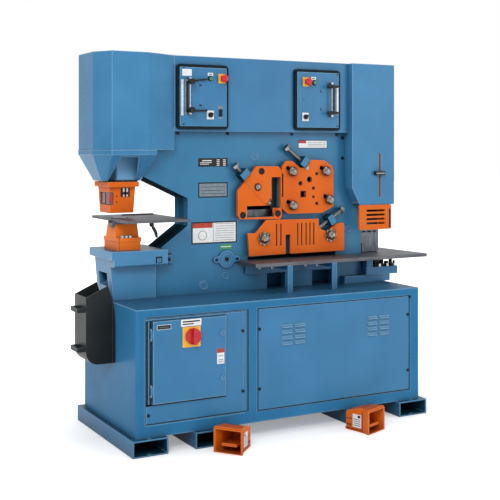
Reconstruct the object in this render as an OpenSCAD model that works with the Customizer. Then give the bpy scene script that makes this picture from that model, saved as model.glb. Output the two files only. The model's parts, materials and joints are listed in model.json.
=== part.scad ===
// Hydraulic ironworker: punch station on the left, angle, rod and flat-bar shears
// in the middle, notching station on the right, on a cabinet base with skid tubes.
// X runs to the right along the front, Y to the back, Z up, in millimetres.
// The origin is on the floor, midway between the four anchor holes.

/* [Base] */
// Width of the base cabinet
base_w = 1600; // [1450:10:1900]
// Depth of the base cabinet
base_d = 700; // [600:10:840]
// Height of the cabinet's top above the floor
base_top = 660; // [560:10:800]
// Height of the skid tubes
skid_h = 76; // [60:1:95]
// Width of one skid tube
skid_w = 174; // [150:2:200]
// Wall of the skid tubes
skid_wall = 6; // [4:1:10]
// Reach of the skid tubes past the cabinet's front and back
skid_reach = 26; // [26:1:60]
// Diameter of the anchor holes
anchor_d = 18; // [12:1:22]
// Sheet of the cabinet's walls
cabinet_sheet = 7; // [5:1:10]

/* [Frame] */
// Thickness of each main frame plate
plate_t = 45; // [35:1:55]
// Gap between the frame plates
plate_gap = 70; // [60:1:85]
// Height of the machine's top above the cabinet
top_h = 1193; // [1150:1:1300]
// Pivot of the beam, from the machine's middle
pivot_x = -165; // [-180:1:-150]
// Height of the pivot of the shear beam above the cabinet
pivot_h = 166; // [150:1:180]
// Radius of the pivot pin
pivot_r = 40; // [30:1:44]

/* [Tables] */
// Height of the shear table's face above the cabinet
table_h = 155; // [150:1:160]
// Thickness of the shear table
table_t = 18; // [10:1:20]
// Height of the punch table's face above the cabinet
punch_table_h = 391; // [388:1:400]
// Thickness of the punch table
punch_table_t = 13; // [10:1:14]

/* [Punch] */
// Distance of the punch axis to the left of the centre
punch_x = 712; // [706:1:716]
// Radius of the punch ram
ram_r = 35; // [28:1:37]
// Stroke of the punch ram
punch_stroke = 50; // [40:1:52]
// Radius of the die
die_r = 35; // [30:1:37]

/* [Covers] */
// Sheet of the covers
sheet = 3; // [2:0.5:4]
// Reach of the top cover past the frame's front and back
cover_reach = 40; // [34:1:60]
// Thickness of the sliding hold-down plates
hold_t = 14; // [10:1:18]
// Free space between the frame and the hold-down plates
hold_off = 22; // [18:1:28]

/* [Hidden] */

$fn = 64;
blue = "#4682b0";
orange = "#f07424";
steel = "#8e9196";
black = "#2c3233";
chrome = "#c8ccd0";
red = "#d8343c";
green = "#1f6b45";

// Clearances: running fits, sliding pieces, seams between covers
run = 0.05;
slip = 0.3;
seam = 1;
panel_gap = 4;

frame_t = 2 * plate_t + plate_gap;
mid_y = frame_t / 2;
back_plate_y = plate_t + plate_gap;
beam_side = 3;
beam_y0 = plate_t + beam_side;
beam_y1 = back_plate_y - beam_side;
left = -base_w / 2;
front = -base_d / 2;

// A block between two corners, heights counted from the cabinet's top
module block(lo, hi) {
    translate([lo[0], lo[1], base_top + lo[2]]) cube(hi - lo);
}

// A flat outline in X and height, made solid from y0 back to y1
module from_front(y0, y1) {
    translate([0, y1, base_top]) rotate([90, 0, 0]) linear_extrude(y1 - y0) children();
}

// A flat outline in Y and height, made solid from x0 to x1
module from_side(x0, x1) {
    translate([x0, 0, base_top]) rotate([90, 0, 90]) linear_extrude(x1 - x0) children();
}

// A flat outline in plan, made solid from height h0 to h1
module from_top(h0, h1) {
    translate([0, 0, base_top + h0]) linear_extrude(h1 - h0) children();
}

// A round bar along Y at x and height h
module bar_y(x, h, r, y0, y1) {
    translate([x, y1, base_top + h]) rotate([90, 0, 0]) cylinder(r = r, h = y1 - y0);
}

// A round bar along Z at x and y
module bar_z(x, y, r, h0, h1) {
    translate([x, y, base_top + h0]) cylinder(r = r, h = h1 - h0);
}

// A rectangle with round corners, from one corner to the other
module soft_rect(lo, hi, r) {
    translate([lo[0] + r, lo[1]]) square([hi[0] - lo[0] - 2 * r, hi[1] - lo[1]]);
    translate([lo[0], lo[1] + r]) square([hi[0] - lo[0], hi[1] - lo[1] - 2 * r]);
    for (x = [lo[0] + r, hi[0] - r])
        for (y = [lo[1] + r, hi[1] - r])
            translate([x, y]) circle(r);
}

// A slot outline with round ends, lying along an angle
module slot_outline(at, length, r, angle) {
    translate(at) rotate(angle) {
        translate([-length / 2, -r]) square([length, 2 * r]);
        for (s = [-1, 1]) translate([s * length / 2, 0]) circle(r);
    }
}

// ---- Base cabinet -------------------------------------------------------

panel_margin = 43;
left_panel = [[left + panel_margin, 133], [left + 557, base_top - 42]];
right_panel = [[left + 624, 129], [base_w / 2 - 62, base_top - 37]];
panel_t = 3;
panel_seat = 3.5;
panel_ledge = 18;
bulkhead_x = (left_panel[1][0] + right_panel[0][0]) / 2;
cabinet_floor = 6;
cabinet_roof = 12;
cabinet_edge_r = 10;

module front_opening(p) {
    w = p[1][0] - p[0][0];
    h = p[1][1] - p[0][1];
    translate([p[0][0], front - 1, p[0][1]]) cube([w, panel_seat + 1, h]);
    translate([p[0][0] + panel_ledge, front - 1, p[0][1] + panel_ledge])
        cube([w - 2 * panel_ledge, cabinet_sheet + 2, h - 2 * panel_ledge]);
}

module base_cabinet() color(blue) {
    roof = base_top - cabinet_roof;
    floor_z = skid_h + cabinet_floor;
    inner_y = front + cabinet_sheet;
    difference() {
        translate([0, 0, skid_h]) linear_extrude(base_top - skid_h)
            soft_rect([left, front], [-left, -front], cabinet_edge_r);
        translate([left + cabinet_sheet, inner_y, floor_z])
            cube([bulkhead_x - left - 1.5 * cabinet_sheet, -2 * inner_y, roof - floor_z]);
        translate([bulkhead_x + cabinet_sheet / 2, inner_y, floor_z])
            cube([-left - bulkhead_x - 1.5 * cabinet_sheet, -2 * inner_y, roof - floor_z]);
        front_opening(left_panel);
        front_opening(right_panel);
    }
}

skid_out_x = base_w / 2 - 60;
skid_in_x = base_w / 2 - 373;
skid_y = base_d / 2 + skid_reach;
anchor_y = base_d / 2 + skid_reach / 2;

module skid_tubes() color(blue) {
    for (x = [-skid_out_x, -skid_in_x, skid_in_x, skid_out_x])
        difference() {
            translate([x - skid_w / 2, -skid_y, 0]) cube([skid_w, 2 * skid_y, skid_h]);
            translate([x - skid_w / 2 + skid_wall, -skid_y - 1, skid_wall])
                cube([skid_w - 2 * skid_wall, 2 * skid_y + 2, skid_h - 2 * skid_wall]);
            if (abs(x) == skid_out_x)
                for (y = [-anchor_y, anchor_y])
                    translate([x, y, -1]) cylinder(d = anchor_d, h = skid_h + 2);
        }
}

// ---- Power panel with its enclosure, door and switches -------------------

door_x0 = left + 78;
door_x1 = left + 450;
door_z0 = base_top - 432;
door_z1 = base_top - 56;
door_y0 = front - 12;
door_y1 = front;
door_sheet = 2;
hinge_x = door_x0 - 7;
hinge_y = front - 5.5;
hinge_pin_r = 3;
hinge_zs = [door_z0 + 60, door_z1 - 60];
hinge_len = 34;
window_lo = [door_x0 + 8, door_z0 + 10];
window_hi = [door_x1 - 10, door_z1 - 10];
enclosure_sheet = 2.5;
enclosure_depth = 178;
latch_x = door_x1 - 19;
latch_zs = [door_z0 + 83, door_z1 - 80];
latch_r = 8;
switch_x = left + 276;
switch_z = base_top - 137;
switch_shaft_r = 7;
panel_face_y = front + panel_seat - panel_t;

module power_panel() color(blue) {
    lo = left_panel[0];
    hi = left_panel[1];
    back_y = panel_face_y + panel_t;
    box_lo = window_lo - [12, 12];
    box_hi = window_hi + [14, 5];
    difference() {
        union() {
            translate([lo[0] + panel_gap, panel_face_y, lo[1] + panel_gap])
                cube([hi[0] - lo[0] - 2 * panel_gap, panel_t, hi[1] - lo[1] - 2 * panel_gap]);
            translate([box_lo[0], back_y, box_lo[1]])
                cube([box_hi[0] - box_lo[0], enclosure_depth, box_hi[1] - box_lo[1]]);
        }
        translate([window_lo[0], panel_face_y - 1, window_lo[1]])
            cube([window_hi[0] - window_lo[0], panel_t + 2, window_hi[1] - window_lo[1]]);
        translate([box_lo[0] + enclosure_sheet, back_y, box_lo[1] + enclosure_sheet])
            cube([box_hi[0] - box_lo[0] - 2 * enclosure_sheet,
                  enclosure_depth - enclosure_sheet,
                  box_hi[1] - box_lo[1] - 2 * enclosure_sheet]);
    }
    for (z = hinge_zs) hinge_carrier(z);
}

// Two lugs and the pin that the door's knuckle turns on
module hinge_carrier(z) {
    lug = 10;
    for (s = [-1, 1])
        translate([hinge_x - 5, hinge_y - 5, z + s * (hinge_len / 2 + lug / 2 + slip) - lug / 2])
            cube([8, panel_face_y - hinge_y + 5, lug]);
    translate([hinge_x, hinge_y, z - hinge_len / 2 - lug])
        cylinder(r = hinge_pin_r, h = hinge_len + 2 * lug);
}

module enclosure_door() color(blue) {
    difference() {
        union() {
            translate([door_x0, door_y0, door_z0])
                cube([door_x1 - door_x0, door_y1 - door_y0 - seam / 2, door_z1 - door_z0]);
            for (z = hinge_zs) {
                translate([hinge_x, hinge_y, z - hinge_len / 2])
                    cylinder(r = 5, h = hinge_len);
                translate([hinge_x, hinge_y - 2, z - hinge_len / 2])
                    cube([door_x0 - hinge_x + 1, 4, hinge_len]);
            }
        }
        translate([door_x0 + door_sheet, door_y0 + door_sheet, door_z0 + door_sheet])
            cube([door_x1 - door_x0 - 2 * door_sheet, door_y1 - door_y0,
                  door_z1 - door_z0 - 2 * door_sheet]);
        for (z = hinge_zs)
            translate([hinge_x, hinge_y, z - hinge_len])
                cylinder(r = hinge_pin_r + run, h = 2 * hinge_len);
        for (z = latch_zs)
            translate([latch_x, door_y1, z]) rotate([90, 0, 0]) cylinder(r = latch_r, h = 30);
        translate([switch_x, door_y1, switch_z]) rotate([90, 0, 0])
            cylinder(r = switch_shaft_r, h = 30);
    }
}

// A quarter-turn latch: slotted head, shank through the door, cam inside
module latch(z) {
    cam_y = panel_face_y + panel_t + 1;
    cam_t = 3;
    translate([latch_x, 0, z]) {
        difference() {
            translate([0, door_y0, 0]) rotate([90, 0, 0]) cylinder(r = 13, h = 4);
            translate([-9, door_y0 - 5, -1.5]) cube([18, 3, 3]);
        }
        translate([0, cam_y, 0]) rotate([90, 0, 0]) cylinder(r = latch_r - run, h = cam_y - door_y0);
        translate([-6, cam_y, -19]) cube([12, cam_t, 27]);
    }
}

module latch_upper() color(blue) latch(latch_zs[1]);
module latch_lower() color(blue) latch(latch_zs[0]);

module disconnect_knob() color(red) {
    knob_r = 38;
    knob_t = 12;
    plate_space = 3;
    face_y = door_y0 - plate_space;
    translate([switch_x, 0, switch_z]) {
        translate([0, face_y, 0]) rotate([90, 0, 0]) cylinder(r = knob_r, h = knob_t);
        translate([-9, face_y - knob_t - 18, -knob_r + 2]) cube([18, 19, 2 * knob_r - 4]);
        translate([0, front + 36, 0]) rotate([90, 0, 0])
            cylinder(r = switch_shaft_r - run, h = front + 36 - face_y);
    }
}

// Mounting plate with contactors, relays, transformer, terminals and the main switch
module switch_gear() color(steel) {
    wall_y = panel_face_y + panel_t + enclosure_depth - enclosure_sheet;
    plate_y = wall_y - 12;
    lo = window_lo + [6, 6];
    hi = window_hi - [6, 6];
    translate([lo[0], plate_y, lo[1]]) cube([hi[0] - lo[0], 3, hi[1] - lo[1]]);
    for (x = [lo[0] + 15, hi[0] - 15])
        for (z = [lo[1] + 15, hi[1] - 15])
            translate([x, wall_y, z]) rotate([90, 0, 0]) cylinder(r = 6, h = wall_y - plate_y - 1);
    for (i = [0:2])
        translate([lo[0] + 20 + i * 62, plate_y - 75, lo[1] + 190]) cube([50, 76, 70]);
    for (i = [0:9])
        translate([lo[0] + 20 + i * 30, plate_y - 45, lo[1] + 20]) cube([26, 46, 40]);
    translate([lo[0] + 20, plate_y - 95, lo[1] + 85]) cube([95, 96, 80]);
    translate([lo[0] + 150, plate_y - 60, lo[1] + 95]) cube([150, 61, 60]);
    translate([switch_x - 35, plate_y - 80, switch_z - 40]) cube([70, 81, 80]);
}

// ---- Access panel with two groups of louvres -----------------------------

module access_panel() color(blue) {
    lo = right_panel[0];
    hi = right_panel[1];
    mid = (lo[0] + hi[0]) / 2;
    louvre_w = 54;
    louvre_h = 12;
    difference() {
        union() {
            translate([lo[0] + panel_gap, panel_face_y, lo[1] + panel_gap])
                cube([hi[0] - lo[0] - 2 * panel_gap, panel_t, hi[1] - lo[1] - 2 * panel_gap]);
            for (x = louvre_xs(mid)) for (z = louvre_zs(hi[1]))
                translate([x, panel_face_y - 6, z]) cube([louvre_w, 7, louvre_h]);
        }
        for (x = louvre_xs(mid)) for (z = louvre_zs(hi[1]))
            translate([x + 2, panel_face_y - 4, z - 1]) cube([louvre_w - 4, 10, louvre_h - 1]);
    }
}

function louvre_xs(mid) = [for (g = [-1, 1]) for (k = [0, 1]) mid + g * 254 - 64 + k * 74];
function louvre_zs(top) = [for (i = [0:3]) top - 104 - i * 28];

// ---- Hydraulic unit in the right compartment -------------------------------

module hydraulic_unit() color(steel) {
    floor_z = skid_h + cabinet_floor;
    tank = [420, 400, 210];
    tank_x = 250;
    motor_r = 88;
    translate([tank_x, -tank[1] / 2, floor_z]) cube(tank);
    translate([tank_x + 20, 0, floor_z + tank[2]]) {
        translate([0, -60, 0]) cube([300, 120, 20]);
        translate([0, 0, motor_r + 15]) rotate([0, 90, 0]) cylinder(r = motor_r, h = 230);
        translate([230, 0, motor_r + 15]) rotate([0, 90, 0]) cylinder(r = 55, h = 90);
    }
    translate([tank_x - 120, -60, floor_z]) cube([90, 140, 120]);
}

// ---- Punch pedestal with its bolster plate --------------------------------

bolster_h = 238;
bolster_t = 40;
bolster_x0 = -812;
bolster_x1 = -520;
bolster_y0 = -70;
bolster_y1 = frame_t + 80;
pedestal_y0 = -15;
pedestal_y1 = frame_t + 35;
pedestal_x1 = -560;
pedestal_foot_x = -783;
pedestal_head_x = -800;
pedestal_wall = 22;
chute_window = [[40, 62], [158, 127]];

module punch_pedestal() color(blue) {
    under = bolster_h - bolster_t;
    apron_h = 35;
    difference() {
        union() {
            from_front(pedestal_y0, pedestal_y1)
                polygon([[pedestal_foot_x, 0], [pedestal_x1, 0], [pedestal_x1, under],
                         [pedestal_head_x, under]]);
            block([bolster_x0, bolster_y0, under], [bolster_x1, bolster_y1, bolster_h]);
            from_side(bolster_x0 + 12, bolster_x1)
                polygon([[bolster_y0, under], [bolster_y0, under - apron_h + 8],
                         [bolster_y0 + 8, under - apron_h], [pedestal_y0, under - apron_h],
                         [pedestal_y0, under]]);
            block([pedestal_x1, pedestal_y0, under - apron_h], [bolster_x1, 0, under]);
        }
        difference() {
            from_front(pedestal_y0 + pedestal_wall, pedestal_y1 - pedestal_wall)
                polygon([[pedestal_foot_x + pedestal_wall, -1],
                         [pedestal_x1 - pedestal_wall, -1],
                         [pedestal_x1 - pedestal_wall, under],
                         [pedestal_head_x + pedestal_wall, under]]);
            from_front(pedestal_y0, pedestal_y1)
                polygon([[pedestal_head_x, 40], [pedestal_x1, 128], [pedestal_x1, 142],
                         [pedestal_head_x, 54]]);
        }
        from_side(bolster_x0, pedestal_foot_x + pedestal_wall + 20)
            translate([chute_window[0][0], chute_window[0][1]])
                square(chute_window[1] - chute_window[0]);
        bar_z(-punch_x, mid_y, die_r - 7, under - 1, bolster_h + 1);
    }
}

// ---- Main frame -------------------------------------------------------------

throat_x = -380;
throat_low = 346;
throat_high = 482;
jaw_x = -618;
jaw_low = 593;
frame_right_x = 673;
shoulder_x = 655;
shoulder_h = 700;
frame_top = top_h - 8;
flat_slot = [[-40, table_h], [505, table_h + 41]];
angle_arm_v = [[84, 376], [142, 583]];
angle_arm_h = [[-62, 376], [102, 436]];
rod_window = [[235, 452], [366, 604]];
drop_windows = [[76, 187], [354, 484]];
drop_window_h = 82;
blade_y0 = plate_t - 23;
fixed_lip = 0.2;

module rect(r) {
    translate(r[0]) square(r[1] - r[0]);
}

module grown_rect(r, by) {
    translate(r[0] - [by, by]) square(r[1] - r[0] + [2 * by, 2 * by]);
}

module frame_outline() {
    polygon([[pedestal_x1, 0], [pedestal_x1, bolster_h - bolster_t],
             [bolster_x1, bolster_h - bolster_t], [bolster_x1, bolster_h],
             [-530, bolster_h], [throat_x, throat_low], [throat_x, throat_high],
             [jaw_x, jaw_low], [jaw_x, frame_top], [shoulder_x, frame_top],
             [shoulder_x, shoulder_h], [frame_right_x, shoulder_h], [frame_right_x, 0]]);
}

module frame_front_plate() color(blue) {
    difference() {
        from_front(0, plate_t) difference() {
            frame_outline();
            rect(flat_slot);
            rect(angle_arm_v);
            rect(angle_arm_h);
            rect(rod_window);
            for (w = drop_windows) translate([w[0], -1]) square([w[1] - w[0], drop_window_h + 1]);
        }
        bar_y(pivot_x, pivot_h, pivot_r + slip, -1, plate_t + 1);
        from_front(blade_y0 - slip, plate_t + 1) grown_rect(lower_blade, slip);
    }
    jack_block(rod_jack_block, -rod_angle);
    jack_block(bar_jack_block, bar_angle);
    jack_block(on_line(angle_corner, 135, angle_nut), -45);
}

// The threaded block that a jack screw runs in, welded to the front plate
module jack_block(at, angle) {
    size = [34, 52];
    difference() {
        from_front(-hold_off - hold_t - 24, 0)
            translate(at) rotate(angle) translate(-size / 2) square(size);
        translate([at[0], jack_y, base_top + at[1]]) rotate([0, -angle + 90, 0])
            cylinder(r = jack_r + slip, h = 100, center = true);
    }
}

module frame_back_plate() color(blue) {
    difference() {
        from_front(back_plate_y, frame_t) difference() {
            frame_outline();
            translate([-50, 90]) square([575, 106]);
            translate([-85, 350]) square([250, 250]);
            grown_rect(rod_window, 12);
        }
        bar_y(pivot_x, pivot_h, pivot_r + slip, back_plate_y - 1, frame_t + 1);
    }
}

// Bars between the plates along the throat, the cylinder head block with the ram guide,
// and the tie bars at the top and the foot
guide_half = 68;
guide_low = 570;
head_low = 700;
head_high = 800;
guide_x0 = -757;
guide_x1 = -634;
guide_chamfer = 26;

module frame_spacers() color(blue) {
    bar_w = 30;
    difference() {
        union() {
            from_top(head_low, head_high) translate([-802, mid_y - 90]) square([802 + jaw_x, 180]);
            from_top(guide_low, head_low + 1) guide_outline();
        }
        bar_z(-punch_x, mid_y, ram_r + run, guide_low - 1, head_high + 1);
    }
    y0 = plate_t;
    y1 = back_plate_y;
    from_front(y0, y1) polygon([[throat_x, throat_low], [throat_x, throat_high],
        [jaw_x, jaw_low], [jaw_x, jaw_low + bar_w], [throat_x + bar_w, throat_high + 18],
        [throat_x + bar_w, throat_low - 16], [-530 + 34, bolster_h], [-530, bolster_h]]);
    block([jaw_x, y0, frame_top - bar_w], [shoulder_x, y1, frame_top]);
    block([pedestal_x1, y0, 0], [-300, y1, bar_w]);
    block([shoulder_x - bar_w, y0, 700], [shoulder_x, y1, frame_top - bar_w]);
}

module guide_outline() {
    y0 = mid_y - guide_half;
    y1 = mid_y + guide_half;
    c = guide_chamfer;
    polygon([[guide_x0 + c, y0], [guide_x1 - c, y0], [guide_x1, y0 + c], [guide_x1, y1 - c],
             [guide_x1 - c, y1], [guide_x0 + c, y1], [guide_x0, y1 - c], [guide_x0, y0 + c]]);
}

// ---- Punch station -----------------------------------------------------------

barrel_r = 86;
bore_r = 70;
bore_low = head_high + 30;
bore_high = bore_low + 240;
piston_t = 45;
rod_end_h = 530;

module punch_cylinder() color(blue) {
    difference() {
        union() {
            bar_z(-punch_x, mid_y, barrel_r, head_high, bore_high + 30);
            bar_z(-punch_x, mid_y, barrel_r + 9, head_high, head_high + 28);
        }
        bar_z(-punch_x, mid_y, bore_r, bore_low, bore_high);
        bar_z(-punch_x, mid_y, ram_r + run, head_high - 1, bore_low + 1);
    }
}

module punch_ram() color(chrome) {
    piston_h = bore_low + punch_stroke + 20;
    bar_z(-punch_x, mid_y, ram_r, rod_end_h, piston_h + 1);
    bar_z(-punch_x, mid_y, bore_r - run, piston_h, piston_h + piston_t);
}

// Coupling nut screwed to the ram, and the punch that it holds
nut_h = 45;
nut_r = ram_r + 3;
punch_collar_r = 22;
punch_body_r = 14.5;
punch_tip_r = 10.5;

module punch() color(steel) {
    nut_low = rod_end_h - nut_h;
    collar_low = rod_end_h - 15;
    difference() {
        bar_z(-punch_x, mid_y, nut_r, nut_low, rod_end_h);
        bar_z(-punch_x, mid_y, punch_body_r + slip, nut_low - 1, rod_end_h + 1);
        bar_z(-punch_x, mid_y, punch_collar_r + slip, collar_low, rod_end_h + 1);
    }
    bar_z(-punch_x, mid_y, punch_collar_r, collar_low, rod_end_h);
    bar_z(-punch_x, mid_y, punch_body_r, stripper_low + 34, collar_low + 1);
    bar_z(-punch_x, mid_y, punch_tip_r, stripper_low + 4, stripper_low + 35);
}

stripper_low = 418;
stripper_flange_low = 546;
stripper_high = guide_low;
stripper_body = [[-792, 12], [-658, 168]];
stripper_foot = [[-786, 20], [-664, 160]];
stripper_flange = [[-802, -10], [-648, 190]];

module stripper() color(orange) {
    cx = -punch_x;
    difference() {
        union() {
            hull() {
                from_top(stripper_low, stripper_low + 1)
                    rect(stripper_foot);
                from_top(stripper_flange_low, stripper_flange_low + 1)
                    rect(stripper_body);
            }
            from_top(stripper_flange_low, stripper_high) rect(stripper_flange);
        }
        bar_z(cx, mid_y, nut_r + 5, stripper_low + 10, stripper_high + 1);
        bar_z(cx, mid_y, punch_body_r + 1.5, stripper_low - 1, stripper_high);
        // pocket of the sight window round the left corner, clamp pocket and two screw holes
        block([-810, 24, 458], [-781, 146, 519]);
        block([-810, 10, 458], [-768, 25, 519]);
        block([-734, 0, 494], [-684, 30, 541]);
        for (h = [472, 500]) bar_y(-752, h, 4, -20, 40);
    }
}

die_step_h = 298;
holder_h = 362;
die_seat_h = 330;
holder_base = [[-762, -14], [-636, 174]];
holder_mid = [[-760, 14], [-638, 146]];
holder_head = [[-757, 28], [-642, 132]];

module die_holder() color(orange) {
    cx = -punch_x;
    difference() {
        union() {
            from_top(bolster_h, die_step_h - 18) rect([holder_base[0] + [3, 3], holder_base[1] - [3, 3]]);
            from_top(die_step_h - 18, die_step_h) rect(holder_base);
            hull() {
                from_top(die_step_h - 1, die_step_h) rect(holder_mid);
                from_top(holder_h - 1, holder_h) rect(holder_head);
            }
        }
        bar_z(cx, mid_y, die_r + run, die_seat_h, holder_h + 1);
        bar_z(cx, mid_y, die_r - 9, bolster_h - 1, holder_h);
        // clamping slot near the corner
        block([-751, -15, bolster_h - 1], [-748, 30, die_step_h + 1]);
    }
}

module die() color(steel) {
    cx = -punch_x;
    difference() {
        bar_z(cx, mid_y, die_r, die_seat_h, punch_table_h + 2);
        bar_z(cx, mid_y, punch_tip_r + 0.6, die_seat_h - 1, punch_table_h + 3);
        bar_z(cx, mid_y, punch_tip_r + 5, die_seat_h - 1, punch_table_h - 15);
    }
}

punch_table_x0 = -768;
punch_table_x1 = -445;
punch_table_y0 = -170;
punch_table_y1 = 330;
lever_x = -628;
lever_y = -122;

module punch_table() color(steel) {
    cx = -punch_x;
    low = punch_table_h - punch_table_t;
    difference() {
        union() {
            from_top(low, punch_table_h)
                soft_rect([punch_table_x0, punch_table_y0], [punch_table_x1, punch_table_y1], 6);
            // feet on the die holder, the bracket at its side and the gauge rail
            for (y = [mid_y - 52, mid_y + 38])
                block([-754, y, holder_h], [-646, y + 14, low]);
            block([-776, 20, 348], [-762, 62, low + 1]);
            block([-640, 224, punch_table_h], [-470, 238, punch_table_h + 7]);
        }
        bar_z(cx, mid_y, die_r + 8, low - 60, punch_table_h + 1);
        bar_z(lever_x, lever_y, 5 + run, low - 1, punch_table_h + 1);
        from_top(low - 1, punch_table_h + 1)
            slot_outline([-555, 20], 130, 5, 0);
    }
}

// Clamping lever under the table: a stud with a hub and a bent handle
module table_lever() color(black) {
    low = punch_table_h - punch_table_t;
    bar_z(lever_x, lever_y, 5, low - 12, punch_table_h);
    bar_z(lever_x, lever_y, 11, low - 20, low - slip);
    translate([lever_x, lever_y, base_top + low - 14]) {
        rotate([0, 150, 0]) cylinder(r = 6, h = 34);
        translate([17, 0, -29.5]) {
            sphere(6);
            rotate([0, 160, 0]) cylinder(r = 6.6, h = 26);
            translate([8.9, 0, -24.4]) sphere(6.6);
        }
    }
}

// ---- Slug tray hung on the cabinet's left wall ----------------------------------

tray_x0 = left - 136;
tray_y0 = -60;
tray_y1 = 100;
tray_wall = 3;

module tray_outline(by) {
    t = by;
    difference() {
        union() {
            polygon([[tray_x0 + t, 30 + 2 * t], [tray_x0 + t, -230], [tray_x0 + 56, -289 + t],
                     [left - t, -291 + t], [left - t, 2 * t], [left - 25, 80 + 2 * t]]);
            translate([tray_x0 + 62, -229]) circle(61 - t);
        }
        translate([tray_x0, 90]) square([1, 1]);
    }
}

module slug_tray() color(black) {
    difference() {
        from_front(tray_y0, tray_y1) tray_outline(0);
        from_front(tray_y0 + tray_wall, tray_y1 - tray_wall) tray_outline(tray_wall);
        from_front(tray_y0 + tray_wall, tray_y1 - tray_wall)
            polygon([[tray_x0 + tray_wall, 0], [left - tray_wall, -8],
                     [left - tray_wall, 200], [tray_x0 + tray_wall, 200]]);
    }
    for (m = [0, 1]) translate([0, m * (tray_y0 + tray_y1), 0]) mirror([0, m, 0])
        from_side(left - tray_wall, left) polygon([[tray_y0 + 1, -288], [tray_y0 - 34, -282],
            [tray_y0 - 34, -120], [tray_y0 - 26, -50], [tray_y0 + 1, 8]]);
    for (h = [-32, -218]) tray_handle(h);
}

module tray_handle(h) {
    reach = 36;
    y0 = tray_y0 + 14;
    y1 = tray_y1 - 34;
    t = 9;
    from_top(h - 10, h + 10) difference() {
        soft_rect([tray_x0 - reach, y0], [tray_x0 + 12, y1], 12);
        soft_rect([tray_x0 - reach + t, y0 + t], [tray_x0 + 20, y1 - t], 5);
        translate([tray_x0 + 0.5, y0 - 1]) square([20, y1 - y0 + 2]);
    }
}

// ---- Covers ----------------------------------------------------------------------

hood_low = 725;
hood_x0 = -888;
hood_x1 = -472;
lip_low = 701;
funnel_low = 575;

function hood_points(by) = [
    [hood_x0 + by, mid_y - 102], [-830 + by / 2, mid_y - 205 + by], [-647, mid_y - 205 + by],
    [hood_x1, mid_y - 120 + by], [hood_x1, mid_y + 120 - by], [-647, mid_y + 205 - by],
    [-830 + by / 2, mid_y + 205 - by], [hood_x0 + by, mid_y + 102]];

lip_x1 = -590;

// The hood's outline as far as the lip and the funnel follow it
function lip_points(by) = [
    [hood_x0 + by, mid_y - 102], [-830 + by / 2, mid_y - 205 + by], [-647, mid_y - 205 + by],
    [lip_x1 - by / 2, mid_y - 177 + by], [lip_x1 - by / 2, mid_y + 177 - by],
    [-647, mid_y + 205 - by], [-830 + by / 2, mid_y + 205 - by], [hood_x0 + by, mid_y + 102]];

function funnel_points(by) = [
    [-828 + by, mid_y - 55], [-812 + by, mid_y - 75 + by], [-640 - by, mid_y - 75 + by],
    [-625 - by, mid_y - 58], [-625 - by, mid_y + 58], [-640 - by, mid_y + 75 - by],
    [-812 + by, mid_y + 75 - by], [-828 + by, mid_y + 55]];

module hood() color(blue) {
    difference() {
        from_top(hood_low, top_h) polygon(hood_points(0));
        from_top(hood_low - 1, top_h - sheet) polygon(hood_points(sheet));
    }
}

module hood_funnel() color(blue) {
    difference() {
        union() {
            from_top(lip_low, hood_low) polygon(lip_points(-2));
            hull() {
                from_top(lip_low, lip_low + 0.5) polygon(lip_points(0));
                from_top(funnel_low, funnel_low + 0.5) polygon(funnel_points(0));
            }
        }
        from_top(lip_low, hood_low + 1) polygon(lip_points(sheet));
        hull() {
            from_top(lip_low, lip_low + 0.5) polygon(lip_points(sheet));
            from_top(funnel_low - 1, funnel_low - 0.5) polygon(funnel_points(sheet));
        }
        // room for the frame plates
        block([jaw_x - 2, -2, funnel_low - 10], [lip_x1 + 5, frame_t + 2, hood_low + 1]);
        // cut-out at the front that shows the ram guide
        from_front(mid_y - 260, mid_y - 20)
            polygon([[-803, funnel_low - 10], [-779, lip_low - 10], [-691, lip_low - 10],
                     [-655, funnel_low - 10]]);
    }
}

cover_low = 818;
cover_x1 = 565;

module top_cover() color(blue) {
    y0 = -cover_reach;
    y1 = frame_t + cover_reach;
    difference() {
        block([hood_x1, y0, cover_low], [cover_x1, y1, top_h]);
        block([hood_x1 - 1, y0 + sheet, cover_low + sheet],
              [cover_x1 + 1, y1 - sheet, top_h - sheet]);
        block([hood_x1 - 1, 0, cover_low - 1], [cover_x1 + 1, frame_t, cover_low + sheet + 1]);
    }
}

right_low = 425;
right_x1 = 842;
right_y0 = -75;

module right_outline(by) {
    polygon([[cover_x1 + by, top_h - by], [right_x1 - by, top_h - by],
             [right_x1 - by, right_low - 2 * by / sheet * by], [613 + by / 2, right_low - by],
             [cover_x1 + by, 518]]);
}

module right_cover() color(blue) {
    y1 = frame_t - right_y0;
    slot_x = 746;
    difference() {
        union() {
            from_front(right_y0, y1) right_outline(0);
            block([right_x1, right_y0 + 15, right_low], [right_x1 + 12, y1 - 15, top_h - 4]);
        }
        from_front(right_y0 + sheet, y1 - sheet) right_outline(sheet);
        block([right_x1 - sheet - 1, right_y0 + 18, right_low - 1],
              [right_x1 + 12 - sheet, y1 - 18, top_h - 7]);
        block([cover_x1 - 1, -seam, right_low - 1], [frame_right_x, frame_t + seam, cover_low + 1]);
        block([cover_x1 - 1, -cover_reach - slip, cover_low],
              [cover_x1 + sheet + 1, frame_t + cover_reach + slip, top_h - sheet]);
        block([610, right_y0 + sheet, right_low - 1], [right_x1 - sheet, y1 - sheet, right_low + 5]);
        block([slot_x - 5, right_y0 - 1, 467], [slot_x + 5, right_y0 + sheet + 1, 706]);
    }
}

guard_y0 = -80;
guard_x0 = 609;
guard_x1 = 821;
guard_low = 290;
guard_high = 424;

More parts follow.
